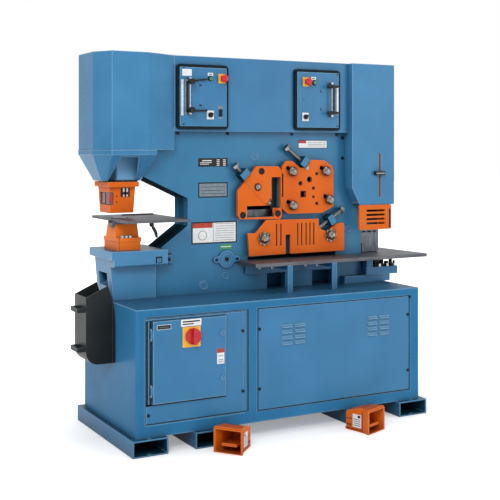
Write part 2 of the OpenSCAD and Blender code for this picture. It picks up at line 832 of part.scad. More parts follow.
module notch_guard() color(orange) {
    slot_pitch = 23;
    difference() {
        union() {
            block([guard_x0, guard_y0, guard_low], [guard_x1, guard_y0 + sheet, guard_high]);
            block([guard_x0, guard_y0, guard_low], [guard_x0 + sheet, guard_y0 + 14, guard_high]);
            block([guard_x1 - sheet, guard_y0, guard_low], [guard_x1, 20, guard_high]);
            block([guard_x1 - 16, guard_y0, guard_low + 6], [guard_x1, guard_y0 + 12, guard_high]);
        }
        for (i = [0:3])
            block([654, guard_y0 - 1, 318 + i * slot_pitch],
                  [776, guard_y0 + sheet + 1, 330 + i * slot_pitch]);
    }
    // flange and tab that hang it from the inside of the right cover's front sheet
    block([640, guard_y0, guard_high - sheet], [800, right_y0 + 2 * sheet, guard_high]);
    block([640, right_y0 + sheet, guard_high - sheet],
          [800, right_y0 + 2 * sheet, guard_high + 26]);
}

// ---- Control panels ---------------------------------------------------------------

panel_lefts = [-464, 214];
panel_w = 285;
panel_low = 828;
panel_high = 1151;
bezel_t = 15;
bezel_w = 22;
plate_y = -cover_reach - bezel_t - 4;
fitting_y = plate_y - 3;
rod_y = plate_y - 20;
rod_xs = [-404, 430];
rod_low = 900;
rod_high = 1084;
gauge_rod_r = 4;

module control_bezels() color(black) {
    for (x = panel_lefts)
        from_front(-cover_reach - bezel_t, -cover_reach) difference() {
            soft_rect([x, panel_low], [x + panel_w, panel_high], 20);
            soft_rect([x + bezel_w, panel_low + bezel_w],
                      [x + panel_w - bezel_w, panel_high - bezel_w], 6);
        }
}

module control_plates() color(blue) {
    from_front(plate_y, -cover_reach - bezel_t) difference() {
        for (x = panel_lefts)
            soft_rect([x + 14, panel_low + 15], [x + panel_w - 12, panel_high - 15], 4);
        for (c = estop_places) translate(c) circle(stem_r + slip);
        for (c = start_places) translate(c) circle(start_r);
    }
}

// Gauge rods with their brackets and rules, and the plates under the push buttons
module panel_fittings() color(steel) {
    for (x = rod_xs) {
        bar_z(x, rod_y, gauge_rod_r, rod_low, rod_high);
        for (h = [rod_low, rod_high - 10])
            block([x - 7, rod_y - 6, h], [x + 7, plate_y, h + 10]);
    }
    block([-443, fitting_y, 896], [-431, plate_y, 1074]);
    block([474, fitting_y, 916], [486, plate_y, 1064]);
    for (c = estop_places) from_front(fitting_y, plate_y) translate(c) difference() {
        square(50, center = true);
        circle(stem_r + slip);
    }
    for (c = selector_places)
        block([c[0] - 20, fitting_y, c[1] - 22], [c[0] + 20, plate_y, c[1] + 22]);
    for (c = start_places) from_front(plate_y - 5, plate_y) translate(c) difference() {
        circle(start_r + 3.5);
        circle(start_r);
    }
}

estop_places = [[-214, 1084], [284, 1084]];
selector_places = [[-284, 900], [276, 899]];
start_places = [[-283, 1082], [333, 1080]];
stem_r = 11;
start_r = 9.5;

// A knob that slides on its gauge rod
module stop_knob(x, h, star) {
    difference() {
        union() {
            translate([x, rod_y, base_top + h - 9]) cylinder(r = 9, h = 18);
            bar_y(x, h, 5, rod_y - 20, rod_y - 6);
            if (star) from_front(rod_y - 34, rod_y - 16) translate([x, h]) star_outline();
            if (!star) translate([x, rod_y, base_top + h - 6]) cylinder(r = 19.5, h = 12);
        }
        bar_z(x, rod_y, gauge_rod_r + run, h - 20, h + 20);
    }
}

module star_outline() {
    lobes = 6;
    circle(12);
    for (i = [0:lobes - 1]) rotate(i * 360 / lobes) translate([11, 0]) circle(4.5);
}

module stop_knob_left_upper() color(black) stop_knob(rod_xs[0], 1062, true);
module stop_knob_left_lower() color(black) stop_knob(rod_xs[0], 922, true);
module stop_knob_right_upper() color(black) stop_knob(rod_xs[1], 1062, false);
module stop_knob_right_lower() color(black) stop_knob(rod_xs[1], 922, false);

module emergency_stop(c) {
    bar_y(c[0], c[1], stem_r, fitting_y - 14, plate_y + 3);
    translate([c[0], fitting_y - 14, base_top + c[1]]) rotate([90, 0, 0]) rotate_extrude()
        polygon([[0, 0], [17, 0], [20, 4], [20, 9], [16, 13], [0, 15]]);
}

module emergency_stop_left() color(red) emergency_stop(estop_places[0]);
module emergency_stop_right() color(red) emergency_stop(estop_places[1]);

module start_button(c) bar_y(c[0], c[1], start_r - slip, plate_y - 10, plate_y + 3);

module start_button_left() color(green) start_button(start_places[0]);
module start_button_right() color(green) start_button(start_places[1]);

module selector(c) {
    bar_y(c[0], c[1], 13, fitting_y - 7, fitting_y);
    translate([c[0], 0, base_top + c[1]]) rotate([0, 45, 0])
        translate([-4, fitting_y - 18, -12]) cube([8, 12, 24]);
}

module selector_left() color(black) selector(selector_places[0]);
module selector_right() color(black) selector(selector_places[1]);

// ---- Shearing beam and its blades ---------------------------------------------------

moving_blade_t = 22;
boss_r = 85;
nose_pin_x = 745;
nose_pin_h = 268;
nose_pin_r = 18;
nose_low = 212;
nose_high = 345;
lower_blade = [[-26, table_h - 40], [491, table_h]];
rod_blade_y0 = 10;
rod_moving_inset = 4;

module flat_blade_outline() {
    polygon([[-20, table_h + 7], [485, table_h + 27], [485, table_h + 70], [-20, table_h + 70]]);
}

// The angle bar's way through the blades: an upright leg and a flat leg
angle_leg = 23;

module angle_opening() {
    v = angle_arm_v;
    h = angle_arm_h;
    translate([v[0][0], h[1][1] - angle_leg])
        square([angle_leg, v[1][1] - h[1][1] + angle_leg]);
    translate([h[0][0], h[1][1] - angle_leg])
        square([v[0][0] + angle_leg - h[0][0], angle_leg]);
}

// Holes for round and square bar, the same in the blades and in the plate over them
module rod_holes(by) {
    translate([316, 568]) circle(12.5 + by);
    translate([260, 548]) circle(8 + by);
    translate([341, 521]) circle(4.5 + by);
    translate([341, 475]) circle(3.5 + by);
    translate([264 - by, 478 - by]) square(26 + 2 * by);
}

module rod_moving_outline() {
    grown_rect(rod_window, -rod_moving_inset);
}

module moving_angle_bars() {
    translate([62, 436]) square([22, 147]);
    translate([-62, 436]) square([124, 24]);
}

module shear_beam() color(blue) {
    difference() {
        from_front(beam_y0, beam_y1) union() {
            translate([pivot_x, pivot_h]) circle(boss_r);
            polygon([[-232, 110], [-98, 110], [-50, 200], [520, 200], [600, nose_low], [772, nose_low],
                     [772, nose_high], [600, nose_high], [600, 640], [560, 680], [-60, 680], [-120, 620],
                     [-240, 230]]);
        }
        bar_y(pivot_x, pivot_h, pivot_r, beam_y0 - 1, beam_y1 + 1);
        from_front(beam_y0 - 1, beam_y1 + 1) hull_free_slot(nose_pin_x, nose_pin_h);
        from_front(beam_y0 - 1, beam_y0 + moving_blade_t + slip) {
            flat_blade_outline();
            moving_angle_bars();
            rod_moving_outline();
        }
        from_front(beam_y0 - 1, beam_y1 + 1) {
            angle_opening();
            grown_rect(rod_window, -14);
        }
    }
}

// Round-ended slot that lets the beam's nose pin move a little along the beam
module hull_free_slot(x, h) {
    r = nose_pin_r + 0.5;
    translate([x - 8, h]) circle(r);
    translate([x + 8, h]) circle(r);
    translate([x - 8, h - r]) square([16, 2 * r]);
}

module moving_blades() color(steel) {
    from_front(beam_y0, beam_y0 + moving_blade_t) {
        flat_blade_outline();
        moving_angle_bars();
        difference() {
            rod_moving_outline();
            rod_holes(0);
        }
    }
}

module fixed_blades() color(steel) {
    y1 = beam_y0 - fixed_lip;
    from_front(blade_y0, y1) rect(lower_blade);
    from_front(blade_y0 - 3, y1) {
        difference() {
            union() {
                rect(angle_arm_v);
                rect(angle_arm_h);
            }
            angle_opening();
        }
    }
    from_front(rod_blade_y0, y1) difference() {
        rect(rod_window);
        rod_holes(0);
    }
    notch_die();
}

notch_foot = [[700, 30], [812, 130]];
notch_die_plan = [[684, 10], [828, 150]];
bolster_top = 80;

module notch_die() {
    from_top(bolster_top, table_h) difference() {
        rect(notch_die_plan);
        grown_rect(notch_foot, 0.5);
    }
}

module pivot_pin() color(blue) {
    cap_y = -12;
    bar_y(pivot_x, pivot_h, pivot_r - run, 0, frame_t + 14);
    difference() {
        from_front(cap_y, 0) {
            translate([pivot_x, pivot_h]) circle(pivot_r + 4);
            translate([pivot_x - 58, pivot_h - 16]) square([116, 32]);
            for (s = [-1, 1]) translate([pivot_x + s * 58, pivot_h]) circle(16);
        }
        bar_y(pivot_x, pivot_h, 12, cap_y - 1, cap_y + 5);
    }
}

// ---- Hold-down plates and their jack screws -------------------------------------------

hold_y0 = -hold_off - hold_t;
hold_y1 = -hold_off;
jack_y = hold_y1 - hold_t / 2;
jack_r = 11;
jack_tip_r = 4.5;
jack_head_r = 20;
jack_head_t = 16;
tip_depth = 14;
angle_corner = [84, 434];
rod_angle = 38;
bar_angle = 32;
slot_r = 12.3;

rod_jack_block = [276, 661];
bar_jack_block = [445, 350];
guard_y = [-36, -14];
groove_y = jack_y + jack_r + 0.3;
slider_w = 42;
slider_near = 26;
slider_far = 208;
angle_nut = 236;

// Places things along the diagonal of the angle opening: u from its inner corner, v across
module on_diagonal() {
    translate(angle_corner) rotate(135) children();
}

module angle_guard() color(orange) {
    difference() {
        from_front(guard_y[0], guard_y[1]) difference() {
            polygon([[-114, 515], [-4, 640], [124, 639], [146, 617], [146, 374], [135, 363],
                     [-101, 370], [-114, 387]]);
            translate([84, 421]) square([56, 162]);
            translate([-62, 376]) square([164, 60]);
        }
        from_front(guard_y[0] - 1, groove_y + slip)
            on_diagonal() translate([-40, -slider_w / 2 - slip])
                square([300, slider_w + 2 * slip]);
    }
    for (p = [[25, 614], [-85, 390], [127, 393]]) bar_y(p[0], p[1], 11, guard_y[1], 0);
}

module angle_slider() color(orange) {
    difference() {
        from_front(hold_y0 - 2, groove_y) on_diagonal() polygon([
            [slider_near, -7], [slider_near + 14, -slider_w / 2], [slider_far, -slider_w / 2],
            [slider_far, slider_w / 2], [slider_near + 14, slider_w / 2], [slider_near, 7]]);
        at_jack(on_line(angle_corner, 135, slider_far), 45) tip_bore();
    }
}

function on_line(p, angle, s) = [p[0] + s * cos(angle), p[1] + s * sin(angle)];

// Puts +Z along the way a jack screw pushes, the way lying "down" degrees below +X
module at_jack(p, down) {
    translate([p[0], jack_y, base_top + p[1]]) rotate([0, 90 + down, 0]) children();
}

// Hexagon head, screw and journal, with the journal's root at the end of the shank
module jack(p, down, shank) {
    at_jack(p, down) {
        translate([0, 0, -shank - jack_head_t]) rotate(30) cylinder(r = jack_head_r, h = jack_head_t, $fn = 6);
        translate([0, 0, -shank]) cylinder(r = jack_r, h = shank - run);
        translate([0, 0, -1]) cylinder(r = jack_tip_r, h = tip_depth + 1);
    }
}

// Bore for the journal, begun just outside the face so that no skin is left over it
module tip_bore() {
    translate([0, 0, -1]) cylinder(r = jack_tip_r + run, h = tip_depth + 2);
}

rod_push = on_line(rod_jack_block, -rod_angle, 33);
bar_push = on_line(bar_jack_block, 180 + bar_angle, 73);

module jack_angle() color(chrome) jack(on_line(angle_corner, 135, slider_far), 45, 80);
module jack_rod() color(chrome) jack(rod_push, rod_angle, 148);
module jack_bar() color(chrome) jack(bar_push, 180 - bar_angle, 160);

rod_bolts = [[206, 611], [415, 611], [438, 458], [208, 433]];
bar_bolts = [[37, 265], [448, 267]];
bar_low = table_h + 23;

module rod_holddown() color(orange) {
    difference() {
        from_front(hold_y0, hold_y1) difference() {
            polygon([[148, 636], [172, 666], [210, 666], [260, 630], [288, 630],
                     on_line(rod_push, 52, -15), on_line(rod_push, 52, 40), [412, 668],
                     [458, 638], [468, 614], [468, 422], [396, 388], [183, 389], [151, 416],
                     [148, 478], [157, 478], [157, 598], [148, 604]]);
            rod_holes(1);
            for (h = [437, 597]) translate([366, h]) circle(7);
            for (b = rod_bolts)
                slot_outline(on_line(b, -rod_angle, -12), 34, slot_r, -rod_angle);
        }
        at_jack(rod_push, rod_angle) tip_bore();
    }
}

module bar_holddown() color(orange) {
    difference() {
        from_front(hold_y0, hold_y1) difference() {
            polygon([[-55, 296], [-10, 294], [54, 361], [374, 357],
                     on_line(bar_push, 122, 14), on_line(bar_push, 122, -16), [428, 288],
                     [486, 327], [530, 331], [538, 318], [538, bar_low + 2], [-46, bar_low]]);
            for (x = [115, 141]) translate([x - 4.3, 222]) square([8.6, 116]);
            for (x = [244, 268, 296, 320, 344]) translate([x - 4.3, 218]) square([8.6, 120]);
            translate([169, bar_low - 1]) square([30, 281 - bar_low]);
            for (b = bar_bolts)
                slot_outline(on_line(b, bar_angle, 14), 36, slot_r, bar_angle);
        }
        at_jack(bar_push, 180 - bar_angle) tip_bore();
    }
}

// Lobed clamping disc under the two lower bolt heads
module clamp_star() {
    lobes = 8;
    circle(29);
    for (i = [0:lobes - 1]) rotate(i * 360 / lobes) translate([30, 0]) circle(6);
}

module guide_bolts() color(steel) {
    for (b = concat(rod_bolts, bar_bolts)) {
        translate([b[0], hold_y0 - 0.5, base_top + b[1]]) rotate([90, 0, 0]) rotate_extrude()
            polygon([[0, 0], [19, 0], [19, 8], [25, 8], [26, 14], [24, 22], [18, 29], [9, 33],
                     [0, 34]]);
        bar_y(b[0], b[1], slot_r - slip, hold_y0 - 1, 0);
        bar_y(b[0], b[1], 20, hold_y1 + slip, 0);
    }
    for (b = bar_bolts) from_front(hold_y0 - 8, hold_y0 - 0.5) translate(b) clamp_star();
    for (x = [748, 792, 852]) {
        bar_z(x, -28, 10, bolster_top, table_h - table_t);
        bar_z(x, -28, 15, bolster_top, bolster_top + 14);
    }
}

// ---- Right-hand ram -----------------------------------------------------------------

right_ram_x = 757;
right_rod_r = 30;
right_bore_r = 60;
right_barrel_r = 75;
right_bore_low = shoulder_h + 60;
right_bore_high = 1100;
ram_low = table_h + 53;
ram_high = 640;

module right_cylinder() color(blue) {
    difference() {
        union() {
            from_top(shoulder_h, shoulder_h + 45) translate([shoulder_x, 0]) square([183, frame_t]);
            bar_z(right_ram_x, mid_y, right_barrel_r, shoulder_h + 44, right_bore_high + 20);
        }
        bar_z(right_ram_x, mid_y, right_bore_r, right_bore_low, right_bore_high);
        bar_z(right_ram_x, mid_y, right_rod_r + run, shoulder_h - 1, right_bore_low + 1);
    }
}

module right_ram() color(steel) {
    difference() {
        union() {
            block([676, 30, ram_low], [812, 130, ram_high]);
            from_top(table_h + 3, ram_low + 1) rect(notch_foot);
            bar_z(right_ram_x, mid_y, right_rod_r, ram_high - 1, 1001);
            bar_z(right_ram_x, mid_y, right_bore_r - run, 1000, 1040);
            bar_y(746, 597, 4, right_y0 - 7, 31);
            block([716, right_y0 - 18, 588], [768, right_y0 - 6, 606]);
        }
        block([675, beam_y0 - 2, nose_low - 5], [788, beam_y1 + 2, nose_high + 40]);
    }
    bar_y(nose_pin_x, nose_pin_h, nose_pin_r, 30, 130);
}

// ---- Right-hand table and what carries it ---------------------------------------------

pedestal_plate = [[540, -40], [840, 0]];
bolster_plan = [[675, -50], [885, 210]];
leg_xs = [93, 363];

module right_table() color(steel) {
    difference() {
        from_top(table_h - table_t, table_h) difference() {
            polygon([[-95, -190], [990, -178], [953, 257], [677, 257], [677, -2], [-88, -2], [-88, -14], [-104, -14]]);
            grown_rect(notch_die_plan, 1);
            for (x = [40, 240, 430, 600]) translate([x, -95]) circle(8.5);
        }
    }
}

module table_supports() color(blue) {
    low = table_h - table_t;
    block([-56, -14, drop_window_h], [490, 0, low]);
    for (x = leg_xs) {
        block([x, -188, 0], [x + 28, -176, low]);
        block([x, -177, low - 24], [x + 28, -13, low]);
    }
    difference() {
        union() {
            from_top(0, 38) rect(pedestal_plate);
            from_top(0, 38) translate([frame_right_x + 2, 0]) square([165, 200]);
        }
    }
    from_top(38, bolster_top) rect(bolster_plan);
    from_top(bolster_top, low) translate([680, -47]) square([40, 47]);
    from_top(bolster_top, low) translate([690, 160]) square([120, 40]);
}

// ---- Foot switches on the floor ----------------------------------------------------------

foot_places = [[-416.5, -507.5, 36.5], [385.5, -545.4, 111.7]];
foot_h = 118;
foot_len = 150;
foot_front_half = 73;
foot_rear_half = 44;
foot_neck_x = 46;
foot_neck_half = 56;
foot_wall = 6;
foot_base = 4;
treadle_pin_x = 104;
treadle_pin_z = 34;
treadle_pin_r = 5;

module at_foot(i) {
    p = foot_places[i];
    translate([p[0], p[1], 0]) rotate(p[2]) children();
}

// Hood of a foot switch, open at x = 0; "by" is how far inside the skin it runs
module foot_hood(by) {
    intersection() {
        linear_extrude(foot_h) polygon([[-by, -foot_front_half + by],
            [foot_neck_x, -foot_neck_half + by], [foot_len - by, -foot_rear_half + by],
            [foot_len - by, foot_rear_half - by], [foot_neck_x, foot_neck_half - by],
            [-by, foot_front_half - by]]);
        rotate([90, 0, 0]) translate([0, 0, -100]) linear_extrude(200)
            polygon([[-by, -1], [-by, foot_h - 8 - by], [14, foot_h - by], [62, foot_h - by],
                     [foot_len - 10 - by, 96 - by], [foot_len - by, 84 - by],
                     [foot_len - by, -1]]);
    }
}

module foot_guards() color(orange) {
    for (i = [0, 1]) at_foot(i) {
        difference() {
            foot_hood(0);
            difference() {
                foot_hood(foot_wall);
                translate([-10, -90, -1]) cube([foot_len, 180, foot_base + 1]);
            }
            translate([treadle_pin_x, 0, treadle_pin_z]) rotate([90, 0, 0])
                cylinder(r = treadle_pin_r + run, h = 94, center = true);
        }
        translate([foot_len - 1, -34, 0]) cube([13, 68, 9]);
    }
}

module treadle(i) {
    half = 38;
    at_foot(i) {
        translate([14, -half, treadle_pin_z - 4]) cube([treadle_pin_x - 14, 2 * half, 8]);
        translate([14, -half, treadle_pin_z + 3]) cube([6, 2 * half, 6]);
        translate([treadle_pin_x, 0, treadle_pin_z]) rotate([90, 0, 0])
            cylinder(r = treadle_pin_r, h = 93.8, center = true);
    }
}

module treadle_left() color(orange) treadle(0);
module treadle_right() color(orange) treadle(1);

base_cabinet();
skid_tubes();
power_panel();
access_panel();
switch_gear();
enclosure_door();
latch_upper();
latch_lower();
disconnect_knob();
punch_pedestal();
frame_front_plate();
frame_back_plate();
frame_spacers();
punch_cylinder();
punch_ram();
punch();
stripper();
die_holder();
die();
punch_table();
table_lever();
slug_tray();
hood();
hood_funnel();
top_cover();
control_bezels();
control_plates();
panel_fittings();
stop_knob_left_upper();
stop_knob_left_lower();
stop_knob_right_upper();
stop_knob_right_lower();
emergency_stop_left();
emergency_stop_right();
start_button_left();
start_button_right();
selector_left();
selector_right();
right_cover();
notch_guard();
right_cylinder();
right_ram();
shear_beam();
moving_blades();
fixed_blades();
pivot_pin();
angle_guard();
angle_slider();
rod_holddown();
bar_holddown();
jack_angle();
jack_rod();
jack_bar();
guide_bolts();
right_table();
table_supports();
hydraulic_unit();
foot_guards();
treadle_left();
treadle_right();
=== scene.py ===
import bpy, bmesh, json, math
from mathutils import Matrix, Vector


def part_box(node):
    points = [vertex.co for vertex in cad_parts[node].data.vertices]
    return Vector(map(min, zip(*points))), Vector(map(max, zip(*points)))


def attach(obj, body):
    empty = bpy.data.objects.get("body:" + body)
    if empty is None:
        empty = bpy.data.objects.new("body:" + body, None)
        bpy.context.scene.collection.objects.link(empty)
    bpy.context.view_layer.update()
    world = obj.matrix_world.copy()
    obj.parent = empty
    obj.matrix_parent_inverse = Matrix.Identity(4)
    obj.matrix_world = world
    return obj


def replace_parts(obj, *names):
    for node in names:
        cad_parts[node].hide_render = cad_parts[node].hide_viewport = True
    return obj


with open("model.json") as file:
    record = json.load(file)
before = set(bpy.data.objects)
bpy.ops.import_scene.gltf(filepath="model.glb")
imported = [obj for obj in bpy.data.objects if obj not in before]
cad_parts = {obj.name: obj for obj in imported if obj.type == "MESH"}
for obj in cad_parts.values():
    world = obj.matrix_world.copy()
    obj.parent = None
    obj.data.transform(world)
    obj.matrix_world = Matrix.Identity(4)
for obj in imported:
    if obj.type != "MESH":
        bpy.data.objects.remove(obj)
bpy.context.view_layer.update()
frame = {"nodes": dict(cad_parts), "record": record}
NODES = frame["nodes"]
MM = 0.001


# ---- Colour and material helpers ---------------------------------------------

def srgb(code):
    """Turns an sRGB hex colour into the linear values that sockets take."""
    parts = [int(code[i:i + 2], 16) / 255 for i in (1, 3, 5)]
    return [p / 12.92 if p <= 0.04045 else ((p + 0.055) / 1.055) ** 2.4 for p in parts] + [1.0]


def add(tree, kind, values={}, links={}, **options):
    """Adds one node with its options, its input values and its links."""
    node = tree.nodes.new(kind)
    for name, value in options.items():
        setattr(node, name, value)
    for socket, value in values.items():
        node.inputs[socket].default_value = value
    for socket, source in links.items():
        tree.links.new(source, node.inputs[socket])
    return node


def start(name, **surface):
    """Starts a material: returns it, its tree, its shader and its Object coordinates."""
    mat = bpy.data.materials.new(name)
    mat.use_nodes = True
    tree = mat.node_tree
    shader = tree.nodes["Principled BSDF"]
    for socket, value in surface.items():
        shader.inputs[socket.replace("_", " ")].default_value = value
    coords = add(tree, "ShaderNodeTexCoord")
    return mat, tree, shader, coords.outputs["Object"]


def tint(tree, shader, pattern, stops):
    """Drives the base colour from a pattern through colour stops."""
    ramp = add(tree, "ShaderNodeValToRGB", links={"Fac": pattern})
    points = ramp.color_ramp.elements
    while len(points) < len(stops):
        points.new(0.5)
    for point, (place, code) in zip(points, stops):
        point.position = place
        point.color = srgb(code)
    tree.links.new(ramp.outputs[0], shader.inputs["Base Color"])


def paint_over(tree, shader, amount, code):
    """Blends the base colour that a material has so far towards a hex colour, by an amount."""
    mix = add(tree, "ShaderNodeMix", data_type="RGBA")
    tree.links.new(amount, mix.inputs["Factor"])
    tree.links.new(shader.inputs["Base Color"].links[0].from_socket, mix.inputs[6])
    mix.inputs[7].default_value = srgb(code)
    tree.links.new(mix.outputs[2], shader.inputs["Base Color"])


def round_and_highlight_edges(tree, shader, radius_mm, code, most):
    """Rounds sharp edges in the shading and lightens the colour on them as a painted highlight."""
    rounded = add(tree, "ShaderNodeBevel", {"Radius": radius_mm * MM}, samples=6)
    flat = add(tree, "ShaderNodeNewGeometry")
    match = add(tree, "ShaderNodeVectorMath", operation="DOT_PRODUCT")
    tree.links.new(rounded.outputs[0], match.inputs[0])
    tree.links.new(flat.outputs["True Normal"], match.inputs[1])
    edge = add(tree, "ShaderNodeMapRange", {"From Min": 0.97, "From Max": 0.8, "To Max": most},
               {"Value": match.outputs["Value"]})
    paint_over(tree, shader, edge.outputs[0], code)
    return rounded.outputs[0]


def paint_corner_shade(tree, shader, reach_mm, code, most):
    """Paints shade into the colour where faces meet within reach_mm of each other, darkening corners
    and recesses.
    """
    open_sky = add(tree, "ShaderNodeAmbientOcclusion", {"Distance": reach_mm * MM}, samples=6)
    amount = add(tree, "ShaderNodeMapRange", {"From Min": 0.95, "From Max": 0.35, "To Max": most},
                 {"Value": open_sky.outputs["AO"]})
    paint_over(tree, shader, amount.outputs[0], code)


def face_direction(tree):
    """The X, Y and Z parts of the direction that a face looks in, each -1 to 1."""
    normal = add(tree, "ShaderNodeNewGeometry").outputs["True Normal"]
    return add(tree, "ShaderNodeSeparateXYZ", links={"Vector": normal}).outputs


def darken_up_faces(tree, shader, code, most):
    """Darkens the colour of faces that look up."""
    film = add(tree, "ShaderNodeMapRange", {"From Min": 0.85, "From Max": 0.98, "To Max": most},
               {"Value": face_direction(tree)["Z"]})
    paint_over(tree, shader, film.outputs[0], code)


def shade_plate_edges(mat, code):
    """Painted shade on the side faces of a frame plate, most on sloping ones, where the paint is also
    duller.
    """
    tree = mat.node_tree
    shader = tree.nodes["Principled BSDF"]
    parts = face_direction(tree)
    steep = add(tree, "ShaderNodeMath", links={0: parts["Z"]}, operation="ABSOLUTE")
    slope = add(tree, "ShaderNodeMapRange", {"From Min": 0.15, "From Max": 0.35, "To Min": 0.1,
                "To Max": 0.9}, {"Value": steep.outputs[0]})
    ahead = add(tree, "ShaderNodeMath", links={0: parts["Y"]}, operation="ABSOLUTE")
    side = add(tree, "ShaderNodeMapRange", {"From Min": 0.3, "From Max": 0.6, "To Min": 1.0,
               "To Max": 0.0}, {"Value": ahead.outputs[0]}).outputs[0]
    amount = add(tree, "ShaderNodeMath", links={0: slope.outputs[0], 1: side}, operation="MULTIPLY")
    # painted shade on the plate's side faces, most on sloping ones
    paint_over(tree, shader, amount.outputs[0], code)
    for socket, on_faces, on_edges in (("Specular IOR Level", 0.3, 0.02), ("Coat Weight", 0.06, 0.0),
                                       ("Roughness", 0.4, 0.95)):
        level = add(tree, "ShaderNodeMapRange", {"To Min": on_faces, "To Max": on_edges},
                    {"Value": side})
        tree.links.new(level.outputs[0], shader.inputs[socket])
    return mat


# ---- Finishes -------------------------------------------------------------------

def enamel(name, low, mid, high, edge, rough=0.36, shade_and_top_code="#12232E", highlight_mm=4.5, reach=60, most=0.45,
           gloss=0.3):
    """Sprayed machine enamel on steel: even colour, faint orange peel and a dusty film in its shine,
    with painted shade in corners, darker faces that look up and painted highlights on edges.
    """
    mat, tree, shader, coords = start(name, Roughness=rough, Coat_Weight=0.06, Coat_Roughness=0.2)
    shader.inputs["Specular IOR Level"].default_value = gloss
    # the coat's colour drifts over about 260 mm, and its film of dust over about 70 mm
    drift = add(tree, "ShaderNodeTexNoise", {"Scale": 1 / (260 * MM), "Detail": 2}, {"Vector": coords})
    tint(tree, shader, drift.outputs["Fac"], [(0.3, low), (0.5, mid), (0.7, high)])
    film = add(tree, "ShaderNodeTexNoise", {"Scale": 1 / (70 * MM), "Detail": 4}, {"Vector": coords})
    sheen = add(tree, "ShaderNodeMapRange", {"From Min": 0.3, "From Max": 0.7, "To Min": rough - 0.02,
                "To Max": rough + 0.04}, {"Value": film.outputs["Fac"]})
    tree.links.new(sheen.outputs[0], shader.inputs["Roughness"])
    # painted shade: the colour darkens in corners and recesses
    paint_corner_shade(tree, shader, reach, shade_and_top_code, most)
    # faces that look up darken towards the same dark colour
    darken_up_faces(tree, shader, shade_and_top_code, 0.5)
    # painted highlight: the colour lightens on rounded edges
    rounded = round_and_highlight_edges(tree, shader, highlight_mm, edge, 0.9)
    # orange peel is really about 2 mm across; 5 mm is the finest that still shows
    peel = add(tree, "ShaderNodeTexNoise", {"Scale": 1 / (5 * MM), "Detail": 2}, {"Vector": coords})
    bump = add(tree, "ShaderNodeBump", {"Distance": 0.1 * MM, "Strength": 0.22},
               {"Height": peel.outputs["Fac"], "Normal": rounded})
    tree.links.new(bump.outputs[0], shader.inputs["Normal"])
    return mat


def steel(name, low, high, rough, stretch, size=30, bump=0.05, metal=1.0):
    """Bare steel with cutter or grinding marks along one axis; oily steel is less metallic.

    Real marks are less than 1 mm apart; size, in mm, is as coarse as they need to show.
    """
    mat, tree, shader, coords = start(name, Metallic=metal, Roughness=rough)
    drawn_out = add(tree, "ShaderNodeMapping", {"Scale": stretch}, {"Vector": coords})
    marks = add(tree, "ShaderNodeTexNoise", {"Scale": 1 / (size * MM), "Detail": 5},
                {"Vector": drawn_out.outputs[0]}).outputs["Fac"]
    tint(tree, shader, marks, [(0.3, low), (0.7, high)])
    shine = add(tree, "ShaderNodeMapRange", {"From Min": 0.25, "From Max": 0.75,
                "To Min": rough + 0.08, "To Max": rough - 0.08}, {"Value": marks})
    tree.links.new(shine.outputs[0], shader.inputs["Roughness"])
    depth = add(tree, "ShaderNodeBump", {"Distance": bump * MM, "Strength": 0.6}, {"Height": marks})
    tree.links.new(depth.outputs[0], shader.inputs["Normal"])
    return mat


def plastic(name, low, high, rough, grain=2.0, gloss=0.5):
    """Moulded plastic: a fine grain and a soft shine.

    The real grain is finer than 1 mm; grain, in mm, is as coarse as it needs to show close up.
    """
    mat, tree, shader, coords = start(name, Roughness=rough, IOR=1.46)
    shader.inputs["Specular IOR Level"].default_value = gloss
    flow = add(tree, "ShaderNodeTexNoise", {"Scale": 1 / (18 * MM), "Detail": 2}, {"Vector": coords})
    tint(tree, shader, flow.outputs["Fac"], [(0.35, low), (0.65, high)])
    pits = add(tree, "ShaderNodeTexNoise", {"Scale": 1 / (grain * MM), "Detail": 2},
               {"Vector": coords})
    bump = add(tree, "ShaderNodeBump", {"Distance": 0.05 * MM, "Strength": 0.3},
               {"Height": pits.outputs["Fac"]})
    tree.links.new(bump.outputs[0], shader.inputs["Normal"])
    return mat


def threaded(name, direction, push_mm, shank_mm):
    """Bright screw steel with rings of thread on its shank.

    push_mm is where the screw bears, and the thread starts shank_mm back from there.
    """
    mat, tree, shader, coords = start(name, Metallic=1.0, Roughness=0.3)
    place_on = add(tree, "ShaderNodeVectorMath", {1: direction}, {0: coords},
                   operation="DOT_PRODUCT").outputs["Value"]
    push = direction[0] * push_mm[0] * MM + direction[2] * push_mm[1] * MM
    # the real 5 mm pitch is too fine to show, so the rings stand 7 mm apart
    turns = add(tree, "ShaderNodeMath", {1: math.tau / (7 * MM)}, {0: place_on}, operation="MULTIPLY")
    wave = add(tree, "ShaderNodeMath", links={0: turns.outputs[0]}, operation="SINE")
    crests = add(tree, "ShaderNodeMapRange", {"From Min": -1}, {"Value": wave.outputs[0]})
    shank = add(tree, "ShaderNodeMath", {1: push - shank_mm * MM}, {0: place_on},
                operation="GREATER_THAN")
    rings = add(tree, "ShaderNodeMath", links={0: crests.outputs[0], 1: shank.outputs[0]},
                operation="MULTIPLY").outputs[0]
    tint(tree, shader, rings, [(0.0, "#85868A"), (0.45, "#6E7074"), (1.0, "#1E2022")])
    thread = add(tree, "ShaderNodeBump", {"Distance": 0.8 * MM, "Strength": 0.7}, {"Height": rings})
    tree.links.new(thread.outputs[0], shader.inputs["Normal"])
    return mat


def darker_beyond(mat, edge_mm, code):
    """Blackens a node's fastenings to the right of a place along the machine."""
    tree = mat.node_tree
    shader = tree.nodes["Principled BSDF"]
    spot = add(tree, "ShaderNodeTexCoord").outputs["Object"]
    reach = add(tree, "ShaderNodeVectorMath", {1: (1, 0, 0)}, {0: spot}, operation="DOT_PRODUCT")
    beyond = add(tree, "ShaderNodeMath", {1: edge_mm * MM}, {0: reach.outputs["Value"]},
                 operation="GREATER_THAN")
    paint_over(tree, shader, beyond.outputs[0], code)
